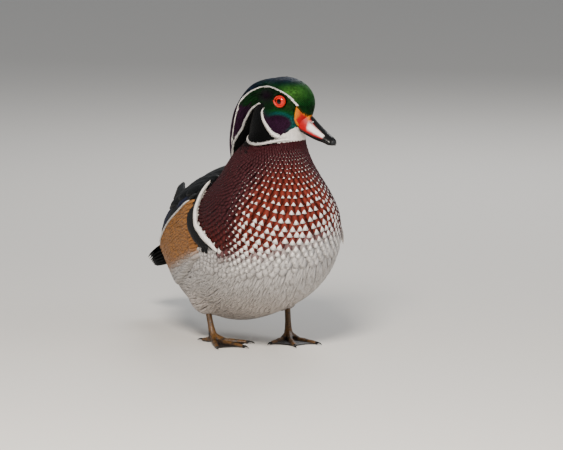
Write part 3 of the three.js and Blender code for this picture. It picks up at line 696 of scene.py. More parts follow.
class DUCK_OT_bars(bpy.types.Operator):
    """Lay the white bar and the black bar that part the breast from the flanks"""
    bl_idname = "duck.bars"
    bl_label = "Side bars"

    def execute(self, context):
        for side, hand in SIDES:
            coat = Coat()
            for share, shade, width, length, lift, count in BAR_ROWS:
                starts = np.linspace(-0.02, 0.9, count)[:, None]
                s = starts + np.linspace(0, 1, 6)[None] * (length / BAR_LENGTH)
                lines = bend(WHITE_BAR, s * (1 - 0.12 * share)) * (1 - share) + bend(BLACK_BAR, s) * share
                lines = lines * (-side, 1, 1)
                lines, outs = settle(body, lines, 0.0, 3)
                fade = np.interp(s[:, 0], (0, 0.15, 0.7, 0.92), (0.75, 1, 1, 0.35))
                lines = lines + outs * np.array([0.2, 0.55, 0.8, 0.95, 1.0, 1.0])[None, :, None] * lift
                mark = plain(shade, count) * rng.uniform(0.93, 1.05, (count, 1))
                coat.add(lines, outs, width * fade, (0.5, 0.85, 1, 0.95, 0.75, 0.2), mark,
                         around(lines[:, 0], BODY_MIDDLE), crown=0.06, columns=4)
            coat.build(f"bars_{hand}", contour_material())
        return {"FINISHED"}


EYE_CLEARING = 6.9


def globe(number):
    """Evenly spread ways out of a point."""
    i = np.arange(number) + 0.5
    lift = 1 - 2 * i / number
    turn = i * math.pi * (3 - math.sqrt(5))
    flat = np.sqrt(1 - lift ** 2)
    return np.stack([flat * np.cos(turn), flat * np.sin(turn), lift], -1)


def glitter(shine):
    """Uneven brightness of shining feathers."""
    return np.where(shine[:, None] > 0, rng.uniform(0.55, 1.5, (len(shine), 1)), 1.0)


class DUCK_OT_head_feathers(bpy.types.Operator):
    """Cover the head and the neck ring with small sleek feathers that flow back from the bill"""
    bl_idname = "duck.head_feathers"
    bl_label = "Head feathers"

    def execute(self, context):
        ways = globe(settings().head_feathers)
        centre = on_head(*HEAD_MIDDLE)
        start = np.broadcast_to(centre, ways.shape)
        roots = start + ways * reach(flesh, start, ways)[:, None]
        local = in_head(roots)
        keep = local[:, 2] > throat_edge(local[:, 0]) - 7
        keep &= ~in_bill(local)
        roots, local = roots[keep], local[keep]
        # They flow back from the bill, and down the neck
        down = np.clip(-local[:, 2:] / 45, 0, 1) * (0, 0, -0.8)
        ways = unit(unit(roots - on_head(30.0, 0.0, -9.0)) + down)
        lengths = np.interp(local[:, 0], (-45, -10, 16), (4.6, 3.8, 2.4))
        lengths = lengths * rng.uniform(0.9, 1.15, len(roots))
        centres, outs = lay(flesh, roots, ways, lengths, (-0.35, 0.3, 0.5), 3)
        tips = in_head(centres)
        clear = np.hypot(tips[..., 0], tips[..., 2] / 0.92).min(1) > EYE_CLEARING
        clear |= np.abs(local[:, 1]) < 8
        centres, outs, roots, local = (a[clear] for a in (centres, outs, roots, local))
        mark, shine = head_marks(centres[:, 1] * 0.45 + centres[:, 2] * 0.55)
        mark = mark * glitter(shine)
        coat = Coat()
        coat.add(centres, outs, np.interp(local[:, 0], (-45, 16), (2.2, 1.5)), FINE_SPREAD, mark,
                 around(roots, centre), shine=shine, crown=0.12)
        coat.build("feathers_head", satin_material())
        return {"FINISHED"}


# ---- Materials ------------------------------------------------------------------------------------

def node(tree, kind, links=(), **values):
    """Adds a node with its settings, then its links as (input, socket) pairs."""
    made = tree.nodes.new(kind)
    for key, value in values.items():
        if key.startswith("in_"):
            made.inputs[int(key[3:])].default_value = value
        else:
            setattr(made, key, value)
    for key, socket in links:
        tree.links.new(socket, made.inputs[key])
    return made


def new_material(name):
    made = bpy.data.materials.new(name)
    made.use_nodes = True
    tree = made.node_tree
    tree.nodes.clear()
    shader = node(tree, "ShaderNodeBsdfPrincipled")
    node(tree, "ShaderNodeOutputMaterial", [("Surface", shader.outputs[0])])
    return made, tree, shader


def maths(tree, operation, *terms):
    links = [(i, t) for i, t in enumerate(terms) if not isinstance(t, (int, float))]
    values = {f"in_{i}": t for i, t in enumerate(terms) if isinstance(t, (int, float))}
    return node(tree, "ShaderNodeMath", links, operation=operation, **values).outputs[0]


def mixed(tree, share, first, second, how="MIX"):
    made = node(tree, "ShaderNodeMix", data_type="RGBA", blend_type=how)
    for key, value in ((0, share), (6, first), (7, second)):
        if isinstance(value, bpy.types.NodeSocket):
            tree.links.new(value, made.inputs[key])
        elif isinstance(value, (int, float)):
            made.inputs[key].default_value = value
        else:
            made.inputs[key].default_value = (*value, 1)
    return made.outputs[2]


def stored(tree, name, output="Fac"):
    """Reads a value that a mesh carries."""
    return node(tree, "ShaderNodeAttribute", attribute_name=name).outputs[output]


def object_place(tree):
    return node(tree, "ShaderNodeTexCoord").outputs["Object"]


def grain(tree, scale, detail=2):
    """Fine noise fixed to the piece."""
    noise = node(tree, "ShaderNodeTexNoise", [("Vector", object_place(tree))])
    noise.inputs["Scale"].default_value = scale
    noise.inputs["Detail"].default_value = detail
    return noise.outputs[0]


def shaded(tree, tint, shade):
    """A colour times a grey value."""
    grey = node(tree, "ShaderNodeCombineXYZ", [(i, shade) for i in range(3)]).outputs[0]
    return mixed(tree, 1.0, tint, grey, "MULTIPLY")


def ramp(tree, value, low, high, top=1.0):
    """Runs from nothing at the low value to the top at the high one."""
    return node(tree, "ShaderNodeMapRange", [(0, value)], in_1=low, in_2=high, in_4=top).outputs[0]


def surface(tree, shader, look, roughness, specular=0.5, bump=None):
    """Sets what a shader shows. A bump is a height, its strength and its depth in metres."""
    tree.links.new(look, shader.inputs["Base Color"])
    shader.inputs["Roughness"].default_value = roughness
    shader.inputs["Specular IOR Level"].default_value = specular
    if bump:
        height, strength, depth = bump
        relief = node(tree, "ShaderNodeBump", [("Height", height)])
        relief.inputs["Strength"].default_value = strength
        relief.inputs["Distance"].default_value = depth
        tree.links.new(relief.outputs[0], shader.inputs["Normal"])


MADE = {}


def made_once(name, maker):
    if name not in MADE:
        MADE[name] = maker(name)
    return MADE[name]


def feather_material(name, barb, roughness, strength, specular=0.22):
    """Keratin barbs that slant back from the shaft: matt in the mass, with fine lines and a soft edge."""
    made, tree, shader = new_material(name)
    parts = node(tree, "ShaderNodeSeparateXYZ", [(0, stored(tree, "vane", "Vector"))])
    across, left, spot = parts.outputs
    off = maths(tree, "ABSOLUTE", across)
    noise = grain(tree, 420, 3)
    # Barbs are lines that lean with the way off the shaft and wander a little
    slant = maths(tree, "ADD", maths(tree, "MULTIPLY_ADD", off, 1.3, left),
                  maths(tree, "MULTIPLY", noise, 1.6))
    lines = maths(tree, "SINE", maths(tree, "MULTIPLY", slant, 2 * math.pi / barb))
    shade = maths(tree, "MULTIPLY", maths(tree, "MULTIPLY_ADD", lines, 0.07, 0.96),
                  maths(tree, "MULTIPLY_ADD", noise, 0.5, 0.75))
    # The pale tip is a triangle with its point toward the root
    apex = maths(tree, "SUBTRACT", maths(tree, "MULTIPLY", spot, 1.25), left)
    room = maths(tree, "SUBTRACT", maths(tree, "MULTIPLY", apex, 0.72), off)
    look = mixed(tree, ramp(tree, room, -0.12, 0.3), shaded(tree, stored(tree, "tint", "Color"), shade),
                 shaded(tree, tone("chalk"), shade))
    surface(tree, shader, look, roughness, specular, (lines, strength, 0.0001))
    tree.links.new(maths(tree, "MULTIPLY", stored(tree, "shine"), 0.6), shader.inputs["Metallic"])
    return made


def contour_material():
    """Breast and belly feathers: soft matt barbs."""
    return made_once("Barbed_keratin_contour", lambda name: feather_material(name, 0.9, 0.62, 0.35))


def satin_material():
    """Head and crest: fine dense barbs, sleek as satin."""
    return made_once("Barbed_keratin_satin", lambda name: feather_material(name, 0.6, 0.42, 0.3, 0.12))


def glossy_material():
    """Wings and tail: stiff barbs with a dull gloss."""
    return made_once("Barbed_keratin_glossy", lambda name: feather_material(name, 1.1, 0.5, 0.4, 0.06))


def vermiculated_material():
    """Flank feathers: soft buff barbs crossed by hair-thin dark wavy lines, drawn wider so that they show."""
    def maker(name):
        made = feather_material(name, 1.0, 0.6, 0.3)
        tree = made.node_tree
        shader = next(n for n in tree.nodes if n.type == "BSDF_PRINCIPLED")
        ground = shader.inputs["Base Color"].links[0].from_socket
        parts = node(tree, "ShaderNodeSeparateXYZ", [(0, stored(tree, "vane", "Vector"))])
        wander = maths(tree, "MULTIPLY_ADD", grain(tree, 260), 3.4, parts.outputs[1])
        lines = maths(tree, "SINE", maths(tree, "MULTIPLY", wander, 2 * math.pi / 1.5))
        look = mixed(tree, ramp(tree, lines, 0.35, 0.95, 0.42), ground, tone("soot"))
        tree.links.new(look, shader.inputs["Base Color"])
        return made
    return made_once("Barbed_keratin_vermiculated", maker)


def skin_material():
    """Down close to the skin: soft, matt, in the colours of the feathers over it, and smooth on the bill."""
    made, tree, shader = new_material("Down_barbed_keratin")
    shade = maths(tree, "MULTIPLY_ADD", grain(tree, 900), 0.6, 0.6)
    surface(tree, shader, shaded(tree, stored(tree, "tint", "Color"), shade), 0.82, 0.15)
    rough = maths(tree, "MULTIPLY_ADD", stored(tree, "shine"), -0.45, 0.82)
    tree.links.new(rough, shader.inputs["Roughness"])
    return made


def horn_material(name):
    """Bill sheath and claws: thin smooth keratin over bone, lightly glossy, with faint growth lines."""
    made, tree, shader = new_material(name)
    noise = grain(tree, 700, 4)
    shade = maths(tree, "MULTIPLY_ADD", noise, 0.3, 0.85)
    look = shaded(tree, stored(tree, "tint", "Color"), shade)
    surface(tree, shader, look, 0.26, 0.3, (noise, 0.12, 0.0002))
    return made


def horn():
    return made_once("Keratin_bill_sheath", horn_material)


def eye_material():
    """Eye: a wet clear front over a red iris with fine spokes, a dark rim and a black pupil."""
    made, tree, shader = new_material("Cornea_wet_clear")
    off = stored(tree, "off_axis")
    red = mixed(tree, grain(tree, 1500), tone("iris"), tone("iris") * (1.0, 3.0, 1.5))
    ball = mixed(tree, ramp(tree, off, *IRIS_RIM), red, tone("soot"))
    surface(tree, shader, mixed(tree, ramp(tree, off, *PUPIL_RIM), tone("soot") * 0.3, ball), 0.05)
    shader.inputs["IOR"].default_value = CORNEA_IOR
    return made


def bare_skin_material():
    """Bare skin of the lid: matt, red and finely creased."""
    made, tree, shader = new_material("Bare_skin_creased")
    noise = grain(tree, 1800)
    surface(tree, shader, mixed(tree, noise, tone("lid"), tone("lid") * 0.55), 0.5, bump=(noise, 0.5, 0.0002))
    return made


def scale_material():
    """Leg and toe skin: small keratin plates with dark seams over yellow horn, a little worn."""
    made, tree, shader = new_material("Keratin_scutes")
    tint = stored(tree, "tint", "Color")
    plates = node(tree, "ShaderNodeTexVoronoi", [("Vector", object_place(tree))], feature="DISTANCE_TO_EDGE")
    plates.inputs["Scale"].default_value = 620
    seams = ramp(tree, plates.outputs[0], 0.0, 0.12)
    worn = mixed(tree, grain(tree, 260), tint, tone("horn"))
    look = mixed(tree, seams, tone("horn"), mixed(tree, 0.45, tint, worn))
    surface(tree, shader, look, 0.42, bump=(seams, 0.5, 0.0003))
    return made


# ---- Skin -----------------------------------------------------------------------------------------

# Size of the faces of the remeshed skin, feet and claws, in metres
SKIN_GRAIN, FOOT_GRAIN, CLAW_GRAIN = 0.0022, 0.0006, 0.0003


def drained(bm, mesh):
    """Writes edited geometry into a mesh."""
    bm.to_mesh(mesh)
    bm.free()
    return mesh


def joined_copy(nodes, name):
    """Copies CAD nodes into one mesh with its doubles merged."""
    bm = bmesh.new()
    for each in nodes:
        bm.from_mesh(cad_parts[each].data)
    bmesh.ops.remove_doubles(bm, verts=bm.verts, dist=1e-6)
    return drained(bm, bpy.data.meshes.new(name))


def remeshed(nodes, name, voxel):
    """One closed skin over the CAD nodes, in even small faces."""
    holder = in_scene(name, joined_copy(nodes, name))
    wrap = holder.modifiers.new("wrap", "REMESH")
    wrap.mode = "VOXEL"
    wrap.voxel_size = voxel
    ready = holder.evaluated_get(bpy.context.evaluated_depsgraph_get())
    made = bpy.data.meshes.new_from_object(ready)
    bpy.data.objects.remove(holder)
    return made


def points_of(mesh):
    flat = np.empty(len(mesh.vertices) * 3)
    mesh.vertices.foreach_get("co", flat)
    return flat.reshape(-1, 3) * 1000 + (0, ORIGIN_Y, 0)


def place_points(mesh, points):
    mesh.vertices.foreach_set("co", metres(points).ravel())
    mesh.update()


def smooth(mesh):
    mesh.polygons.foreach_set("use_smooth", np.ones(len(mesh.polygons), bool))


def refine(mesh, chosen):
    """Splits the faces round the foot of the bill into small ones."""
    picked = chosen(in_head(points_of(mesh)))
    bm = bmesh.new()
    bm.from_mesh(mesh)
    bm.verts.ensure_lookup_table()
    edges = [e for e in bm.edges if picked[e.verts[0].index] and picked[e.verts[1].index]]
    bmesh.ops.subdivide_edges(bm, edges=edges, cuts=3, use_grid_fill=True)
    bmesh.ops.triangulate(bm, faces=[f for f in bm.faces if len(f.verts) > 4])
    drained(bm, mesh)


class DUCK_OT_skin(bpy.types.Operator):
    """Wrap the torso, neck, head and thighs in one skin that lies under the coat"""
    bl_idname = "duck.skin"
    bl_label = "Skin"

    def execute(self, context):
        nodes = ["torso", "neck", "head", "thigh_R", "thigh_L"]
        mesh = remeshed(nodes, "skin", SKIN_GRAIN)
        depth = settings().coat_depth * 1000
        points, _ = settle(flesh, points_of(mesh), -depth, 3)
        place_points(mesh, points)
        refine(mesh, lambda local: (local[:, 0] > 11) & (local[:, 2] > -33) & (local[:, 2] < 3))
        points = points_of(mesh)
        local = in_head(points)
        bare = in_bill(local)
        points, _ = settle(flesh, points, np.where(bare, 0.25, -depth), 2)
        place_points(mesh, points)
        smooth(mesh)
        head = local[:, 2] > throat_edge(local[:, 0]) - 3
        mark = np.where(head[:, None], head_marks(points)[0], body_marks(points)[0]) * 0.8
        mark = np.where(bare[:, None], bill_tint(local), mark)
        attach_tint(mesh, mark)
        attach(mesh, "shine", "FLOAT", bare * 1.0)
        mesh.materials.clear()
        mesh.materials.append(skin_material())
        finished(mesh, "skin", nodes)
        return {"FINISHED"}


# ---- Wings, flanks, plumes and tail ---------------------------------------------------------------

def row_lines(side, roots, tips, count, level, rise, rows, shuffle=1.0):
    """Middle lines of one row of big feathers, from root to tip over the trunk."""
    share = np.linspace(0, 1, count)
    start = np.array(roots[0]) + share[:, None] * (np.array(roots[1]) - roots[0])
    end = np.array(tips[0]) + share[:, None] * (np.array(tips[1]) - tips[0])
    start = start + rng.normal(0, shuffle, start.shape) * (1, 0.6)
    end = end + rng.normal(0, shuffle, end.shape) * (1.3, 0.6)
    t = np.linspace(0, 1, rows)[None]
    back = start[:, :1] + t * (end - start)[:, :1]
    clock = start[:, 1:] + t * (end - start)[:, 1:]
    # The root is sunk by 1.2 mm, and the tip lies the rise above the level
    return on_trunk(side, back, clock, level - 1.2 + (rise + 1.2) * (1 - (1 - t) ** 1.6))


def rolled(normals, centres, angle):
    """Leans feathers about their own length, so that each lies on the next."""
    along = unit(np.gradient(centres, axis=1))
    return normals * math.cos(angle) + np.cross(along, normals) * math.sin(angle)


# Shares of a feather's width at its rows, from root to tip
LONG_SPREAD = (0.3, 0.72, 0.92, 1.0, 1.0, 0.94, 0.74, 0.22)
ROUND_SPREAD = (0.35, 0.75, 0.95, 1.0, 0.92, 0.68, 0.2)
PLUME_SPREAD = (0.4, 0.8, 1, 1, 0.9, 0.7, 0.45, 0.1)
FLANK_SPREAD = (0.4, 0.85, 1, 0.9, 0.6, 0.12)
GLOSS_SHINE = 0.08

# Rows of the folded wing, from the lowest layer to the top one:
# roots and tips as [back, clock] of the first and last feather, count, width, level, rise, colour
WING_ROWS = (
    ("secondaries", ((44, 54), (40, 64)), ((126, 48), (104, 82)), 9, 15, 1.2, 2.6, "gloss"),
    ("covert_low", ((22, 46), (14, 55)), ((80, 52), (74, 72)), 10, 13, 1.6, 3.0, "soot"),
    ("covert_mid", ((4, 42), (-4, 48)), ((54, 50), (46, 60)), 9, 12, 2.2, 3.6, "gloss"),
    ("tertials", ((66, 12), (56, 40)), ((142, 12), (128, 44)), 6, 20, 3.0, 4.6, "gloss"),
    ("scapular_low", ((44, 8), (34, 50)), ((104, 9), (92, 52)), 9, 17, 3.2, 4.2, "soot"),
    ("scapular_mid", ((20, 7), (10, 46)), ((74, 9), (62, 50)), 10, 16, 3.4, 4.6, "soot"),
    ("scapular_top", ((-4, 6), (-14, 44)), ((44, 9), (30, 48)), 11, 15, 3.0, 4.8, "soot"),
    ("mantle", ((-22, 5), (-26, 42)), ((14, 8), (4, 46)), 11, 12, 1.4, 3.4, "soot"),
)


def strip_place(side, back, clock):
    """A patch on the skin, unrolled with the back's middle line up the middle."""
    back, clock = np.broadcast_arrays(np.asarray(back, float), np.asarray(clock, float))
    return np.stack([0.5 + side * clock / 380, np.clip((back + 90) / 330, 0.01, 0.99)], -1)


class DUCK_OT_wings(bpy.types.Operator):
    """Lay the folded wings in tiers: secondaries, coverts, tertials, scapulars and primaries"""
    bl_idname = "duck.wings"
    bl_label = "Wings"

    def execute(self, context):
        for side, hand in SIDES:
            coat = Coat()
            for _, roots, tips, count, width, level, rise, shade in WING_ROWS:
                centres, outs = row_lines(side, roots, tips, count, level, rise, 8)
                outs = rolled(outs, centres, side * math.radians(7))
                mark = mix(tone("soot"), tone(shade), 0.55) * rng.uniform(0.75, 1.2, (count, 1, 1))
                mid = centres[:, 3]
                clock = np.degrees(np.arctan2(np.abs(mid[:, 0]), mid[:, 2] - 100))
                coat.add(centres, outs, width, LONG_SPREAD, mark, strip_place(side, mid[:, 1], clock),
                         columns=4, crown=0.07, shine=GLOSS_SHINE)
            # Primaries: six long feathers that leave the side and lie over the rump
            i = np.arange(6)[:, None]
            root, _ = on_trunk(side, np.array([64.0]), np.array([44.0]), np.array([3.0]))
            over = ((34, 116, 146) + i * (2.4, -3, -1.2)) * (side, 1, 1)
            tips = ((9, 163, 147.5) + i * (3.2, -6.5, -1.6)) * (side, 1, 1)
            lines = arc(root, over, tips)
            t = np.linspace(0, 1, 8)[None, :, None]
            face = unit(np.array([side * 0.7, 0, 0.7]) * (1 - t) + np.array([side * 0.35, 0.1, 1]) * t)
            coat.add(lines, np.broadcast_to(face, lines.shape), 10.5, LONG_SPREAD, plain("soot", 6, 1.3),
                     strip_place(side, 120 + 0 * tips[:, 1], 30), columns=4, crown=0.05, shine=GLOSS_SHINE)
            coat.build(f"wing_feathers_{hand}", glossy_material(), [f"wing_{hand}"])
        return {"FINISHED"}


# Clock angle of the flank's upper edge, by how far back
FLANK_TOP = ((-44, -24, 4, 14, 54, 80, 100), (52, 54, 57, 59, 73, 86, 96))


def flank_marks(p):
    """Buff, browner in front and below, with a pale lower edge where it meets the belly."""
    y, z = p[..., 1], p[..., 2]
    brown = ease(-10, 60, -y) * 0.5 + 0.35 * ease(95, 70, z)
    mark = mix(tone("buff"), tone("buff") * (0.62, 0.5, 0.42), brown)
    low = np.interp(y, (-50, -20, 10, 47, 70, 90), (104, 96, 86, 74, 66, 62))
    return mix(mark, tone("belly"), ease(9, -7, z - low))


# Edging over the flank's top: colour, width, lift, turn from the edge in degrees, first and last root
EDGING = (("soot", 6.4, 6.0, -2.6, -12, 72), ("chalk", 3.0, 7.0, -0.2, 2, 74))
EDGING_COUNT = 18


class DUCK_OT_flanks(bpy.types.Operator):
    """Lay the buff side feathers in rows, with a black and a white line along their upper edge"""
    bl_idname = "duck.flanks"
    bl_label = "Flanks"

    def execute(self, context):
        for side, hand in SIDES:
            coat = Coat()
            for row in reversed(range(22)):
                back = -42 + 5.6 * row
                top = np.interp(back, *FLANK_TOP) + 1
                low = np.interp(back, (-44, -20, 14, 54, 80), (98, 106, 116, 124, 122))
                count = max(int((low - top) / 2.6), 6)
                clocks = np.linspace(top, low, count)
                reach_back = 26 if back < 60 else 20
                end = np.interp(back + reach_back, *FLANK_TOP) + 1
                roots = ((back, top), (back - 5, low))
                tips = ((back + reach_back, end), (back + reach_back - 3, low + 3))
                upper = (1 - np.linspace(0, 1, count)[:, None]) ** 2
                centres, outs = row_lines(side, roots, tips, count, 1.0 + 3.8 * upper, 1.6, 6, shuffle=1.2)
                kept = centres[:, 0, 1] > np.interp(centres[:, 0, 2], *BAR_BACK) + 6
                centres, outs, clocks = centres[kept], outs[kept], clocks[kept]
                count = len(centres)
                mark = flank_marks(centres) * rng.uniform(0.93, 1.06, (count, 1, 1))
                coat.add(centres, outs, 6.0, FLANK_SPREAD, mark, strip_place(side, back, clocks), crown=0.04)
            for shade, width, lift, shift, first, last in EDGING:
                back = np.linspace(first, last, EDGING_COUNT)[:, None] + np.linspace(0, 1, 7)[None] * 17
                clock = np.interp(back, *FLANK_TOP) + shift
                centres, outs = on_trunk(side, back, clock, lift + np.linspace(-1, 0.8, 7)[None])
                coat.add(centres, outs, width, ROUND_SPREAD, plain(shade, EDGING_COUNT),
                         strip_place(side, back[:, 0], clock[:, 0]), crown=0.06)
            coat.build(f"flank_feathers_{hand}", vermiculated_material(), [f"flank_{hand}"])
        return {"FINISHED"}


# Layers of rump plumes: roots and tips as in the wing, count, level, rise
PLUME_LAYERS = (
    (((78, 74), (78, 110)), ((128, 92), (112, 124)), 11, 0.8, 2.6),
    (((84, 72), (84, 102)), ((142, 98), (126, 124)), 10, 1.2, 4.2),
    (((94, 72), (92, 94)), ((156, 116), (144, 134)), 8, 1.6, 6.2),
)


class DUCK_OT_rump_plumes(bpy.types.Operator):
    """Let the long maroon plumes fall from the sides of the rump"""
    bl_idname = "duck.rump_plumes"
    bl_label = "Rump plumes"

    def execute(self, context):
        for side, hand in SIDES:
            coat = Coat()
            for roots, tips, count, level, rise in PLUME_LAYERS:
                centres, outs = row_lines(side, roots, tips, count, level, rise, 8, shuffle=1.4)
                mark = plain("chestnut", count, 0.62) * rng.uniform(0.6, 1.25, (count, 1))
                coat.add(centres, outs, 6.5, PLUME_SPREAD, mark, strip_place(side, centres[:, 3, 1], 100),
                         crown=0.06, shine=0.2)
            coat.build(f"plumes_{hand}", glossy_material(), [f"rump_plumes_{hand}"])
        return {"FINISHED"}


# Tail coverts, upper then lower: back of the root, half span, width, length, height, drop, up or down
TAIL_COVERTS = (
    (118, 20, 11, 50, 103, -20, 1), (106, 24, 11, 44, 113, -20, 1), (132, 17, 10, 44, 97, -18, 1),
    (112, 26, 11, 46, 62, 2, -1), (128, 22, 10, 44, 63, 5, -1), (142, 16, 10, 40, 67, 6, -1))
COVERT_COUNT = 9
TAIL_COUNT, TAIL_FAN = 12, 6


def facing(x, y, z):
    """Ways out for straight-faced feathers, one for each."""
    return unit(np.stack(np.broadcast_arrays(x, y, z), -1).astype(float))[:, None]


class DUCK_OT_tail(bpy.types.Operator):
    """Stack the tail feathers by pairs under the upper coverts, with the soft coverts below"""
    bl_idname = "duck.tail"
    bl_label = "Tail"

    def execute(self, context):
        coat = Coat()
        for side in (RIGHT, LEFT):
            # The first seven spread as a fan, and the rest fold under its edge
            i = np.arange(TAIL_COUNT)
            fan, under = np.minimum(i, TAIL_FAN), np.maximum(i - TAIL_FAN, 0)
            out = side * (4.2 + 3.3 * fan - 0.5 * under)
            base = np.stack([out * 0.5, 126 + 0 * i, 96 - 0.9 * fan - 3.4 * under], -1)
            over = np.stack([out * 0.95, 182 + 0 * i, 96 - 1.0 * fan - 4.6 * under], -1)
            tip = np.stack([out * 1.12, 227 - 1.6 * fan - 2.0 * under, 64 - 0.5 * fan - 1.2 * under], -1)
            lines = arc(base, over, tip)
            lean = side * np.where(under > 0, 0.9 + 0.3 * under, 0.12 + 0.06 * fan)
            coat.add(lines, facing(lean, 0.2, 1) + 0 * lines, 14.5, LONG_SPREAD,
                     plain("soot", TAIL_COUNT, 1.15), strip_place(side, 180, 4 + 4 * i),
                     columns=4, crown=0.04, shine=GLOSS_SHINE)
        for start, span, width, length, height, drop, rise in TAIL_COVERTS:
            s = np.linspace(-1, 1, COVERT_COUNT)
            base = np.stack([span * s, start + 0 * s, height - rise * 9 * s ** 2 * span / 24], -1)
            tip = base + np.stack([s * 2, length - 6 * s ** 2, drop - rise * 2 * s ** 2], -1)
            lines = arc(base, (base + tip) / 2 + (0, 0, 4 * rise), tip)
            coat.add(lines, facing(s * 0.6, 0.2, rise) + 0 * lines, width, LONG_SPREAD,
                     plain("soot", COVERT_COUNT, 1.3), strip_place(1, start, 20 * s), columns=4, crown=0.05,
                     shine=GLOSS_SHINE)
        coat.build("tail_feathers", glossy_material(), ["tail"])
        return {"FINISHED"}


# The crest: its spine on the head, and shares along it with its half width and half height there
CREST = dict(path=((-10, 0, 6), (-36, 0, -2), (-54, 0, -22), (-65, 0, -48), (-70, 0, -70)),
             shares=np.linspace(0, 1, 5), half=(13, 14, 11.5, 7, 2.2), above=(16.8, 17.2, 15, 9.4, 2.8))


class DUCK_OT_crest(bpy.types.Operator):
    """Sweep the crest back from the crown in long silky strands"""
    bl_idname = "duck.crest"
    bl_label = "Crest"

    def execute(self, context):
        coat = Coat()
        path, shares, half, above = (CREST[key] for key in ("path", "shares", "half", "above"))
        for number, start in enumerate(np.linspace(0.0, 0.9, 40)):
            ring = int(np.interp(start, (0, 0.9), (58, 34)))
            angle = (np.arange(ring) + 0.5 * (number % 2)) / ring * 2 * math.pi + rng.normal(0, 0.02, ring)
            length = rng.uniform(0.12, 0.16, ring) + 0.03 * (start > 0.7)
            s = np.clip(start + np.linspace(0, 1, 5)[None] * length[:, None], 0, 1.0)
            here = bend(path, s)
            tangent = unit(bend(path, np.clip(s + 0.01, 0, 1)) - bend(path, np.clip(s - 0.01, 0, 1)))
            side = np.array([0.0, 1.0, 0.0])
            rise = unit(np.cross(tangent, side))
            rise = rise * np.sign(rise[..., 2:] + 1e-9)
            wide = np.interp(s, shares, half)[..., None]
            tall = np.interp(s, shares, above)[..., None]
            c, d = np.cos(angle)[:, None, None], np.sin(angle)[:, None, None]
            out = unit(side * c / wide + rise * d / tall)
            local = here + side * wide * c + rise * tall * d + out * np.linspace(-0.3, 0.7, 5)[None, :, None]
            points = on_head(local[..., 0], local[..., 1], local[..., 2])
            outs = out[..., :1] * AHEAD + out[..., 1:2] * LEFTWARD + out[..., 2:] * UP
            mark, shine = head_marks(points[:, 3])
            coat.add(points, outs, 2.1, (0.5, 1.0, 0.9, 0.6, 0.12), mark * glitter(shine),
                     around(points[:, 0], on_head(-40, 0, -20)), shine=shine, crown=0.12)
        coat.build("crest_feathers", satin_material(), ["crest"])
        return {"FINISHED"}


# Stripes of the head: line from front to back, widths along it, count of feathers, length
STRIPES = (
    (BROW_LINE, (2.4, 1.3, 0.7, 0.7, 0.9, 1.2), 130, 6),
    (NAPE_LINE, (1.3, 2.2, 2.8, 2.8, 2.4), 70, 6),
    (CHEEK_LINE, (1.5, 2.8, 3.4, 4.4, 6.0), 36, 5),
    (COLLAR_LINE[::-1], (3.6, 3.4, 3.0, 2.7, 2.4, 1.6), 70, 5),
)


def beside(ahead, up, side):
    """Places on the side of the head or the crest, whichever is outermost, and the ways out there."""
    start = on_head(ahead, 0 * ahead, up)
    sideways = np.broadcast_to(LEFTWARD * side, start.shape)
    head = reach(flesh, start.reshape(-1, 3), sideways.reshape(-1, 3)).reshape(ahead.shape)
    s = np.linspace(0, 1, 160)
    spine = bend(CREST["path"], s)
    gap = np.stack([ahead, up], -1)[..., None, :] - spine[:, [0, 2]]
    nearest = np.argmin((gap ** 2).sum(-1), axis=-1)
    gap = np.take_along_axis(gap, nearest[..., None, None], -2)[..., 0, :]
    wide = np.interp(s[nearest], CREST["shares"], CREST["half"])
    tall = np.interp(s[nearest], CREST["shares"], CREST["above"])
    crest = wide * np.sqrt(np.clip(1 - (gap ** 2).sum(-1) / tall ** 2, 0, 1))
    at = start + sideways * np.maximum(head, crest)[..., None]
    steep = gap / tall[..., None] ** 2
    rise = steep[..., :1] * AHEAD + steep[..., 1:] * UP
    from_crest = unit(rise + sideways * (crest / wide ** 2)[..., None] + 1e-9)
    return at, np.where((head > crest)[..., None], normals_of(flesh, at), from_crest)


class DUCK_OT_head_stripes(bpy.types.Operator):
    """Lay the white stripes of the brow, crest, cheek and collar"""
    bl_idname = "duck.head_stripes"
    bl_label = "Head stripes"

    def execute(self, context):
        coat = Coat()
        for side in (RIGHT, LEFT):
            for line, widths, count, length in STRIPES:
                whole = np.linalg.norm(np.diff(np.array(line), axis=0), axis=1).sum()
                starts = np.linspace(0, 1 - length / whole, count)[:, None]
                s = starts + np.linspace(0, 1, 5)[None] * length / whole
                flat = bend(line, s) + rng.normal(0, 0.12, (count, 1, 2))
                centres, outs = beside(flat[..., 0], flat[..., 1], side)
                centres = centres + outs * np.linspace(0.2, 1.1, 5)[None, :, None]
                wide = np.interp(s[:, 2], np.linspace(0, 1, len(widths)), widths)
                mark = plain("chalk", count) * rng.uniform(0.9, 1.0, (count, 1))
                coat.add(centres, outs, wide, (0.6, 0.95, 1, 0.85, 0.3), mark,
                         around(centres[:, 0], on_head(*HEAD_MIDDLE)), crown=0.08)
        coat.build("head_stripes", satin_material())
        return {"FINISHED"}


# ---- Bill and eyes --------------------------------------------------------------------------------

# Bill stations: ahead, half width, top, gape
BILL = np.array([
    [10, 11.5, -1, -23], [20, 11, -8.5, -28], [28, 10.2, -15.5, -31.5], [36, 9.2, -22.5, -34.5],
    [44, 8.6, -29, -36.5], [50, 8, -33, -38.7], [54, 6, -35.6, -41], [56.5, 2.6, -38.8, -42.5]])
# How far ahead the face's feathers end at the bill, by height
FACE_EDGE = ((-31, -26, -18, -10, -2), (17.5, 16.2, 14.4, 15.4, 17.4))
NOSTRIL = (30.5, 5.4, -21.2)


def brow_edge(ahead):
    """Height of the edge of the forehead's feathers over the bill."""
    return -2 - 1.4 * (ahead - 17.4)


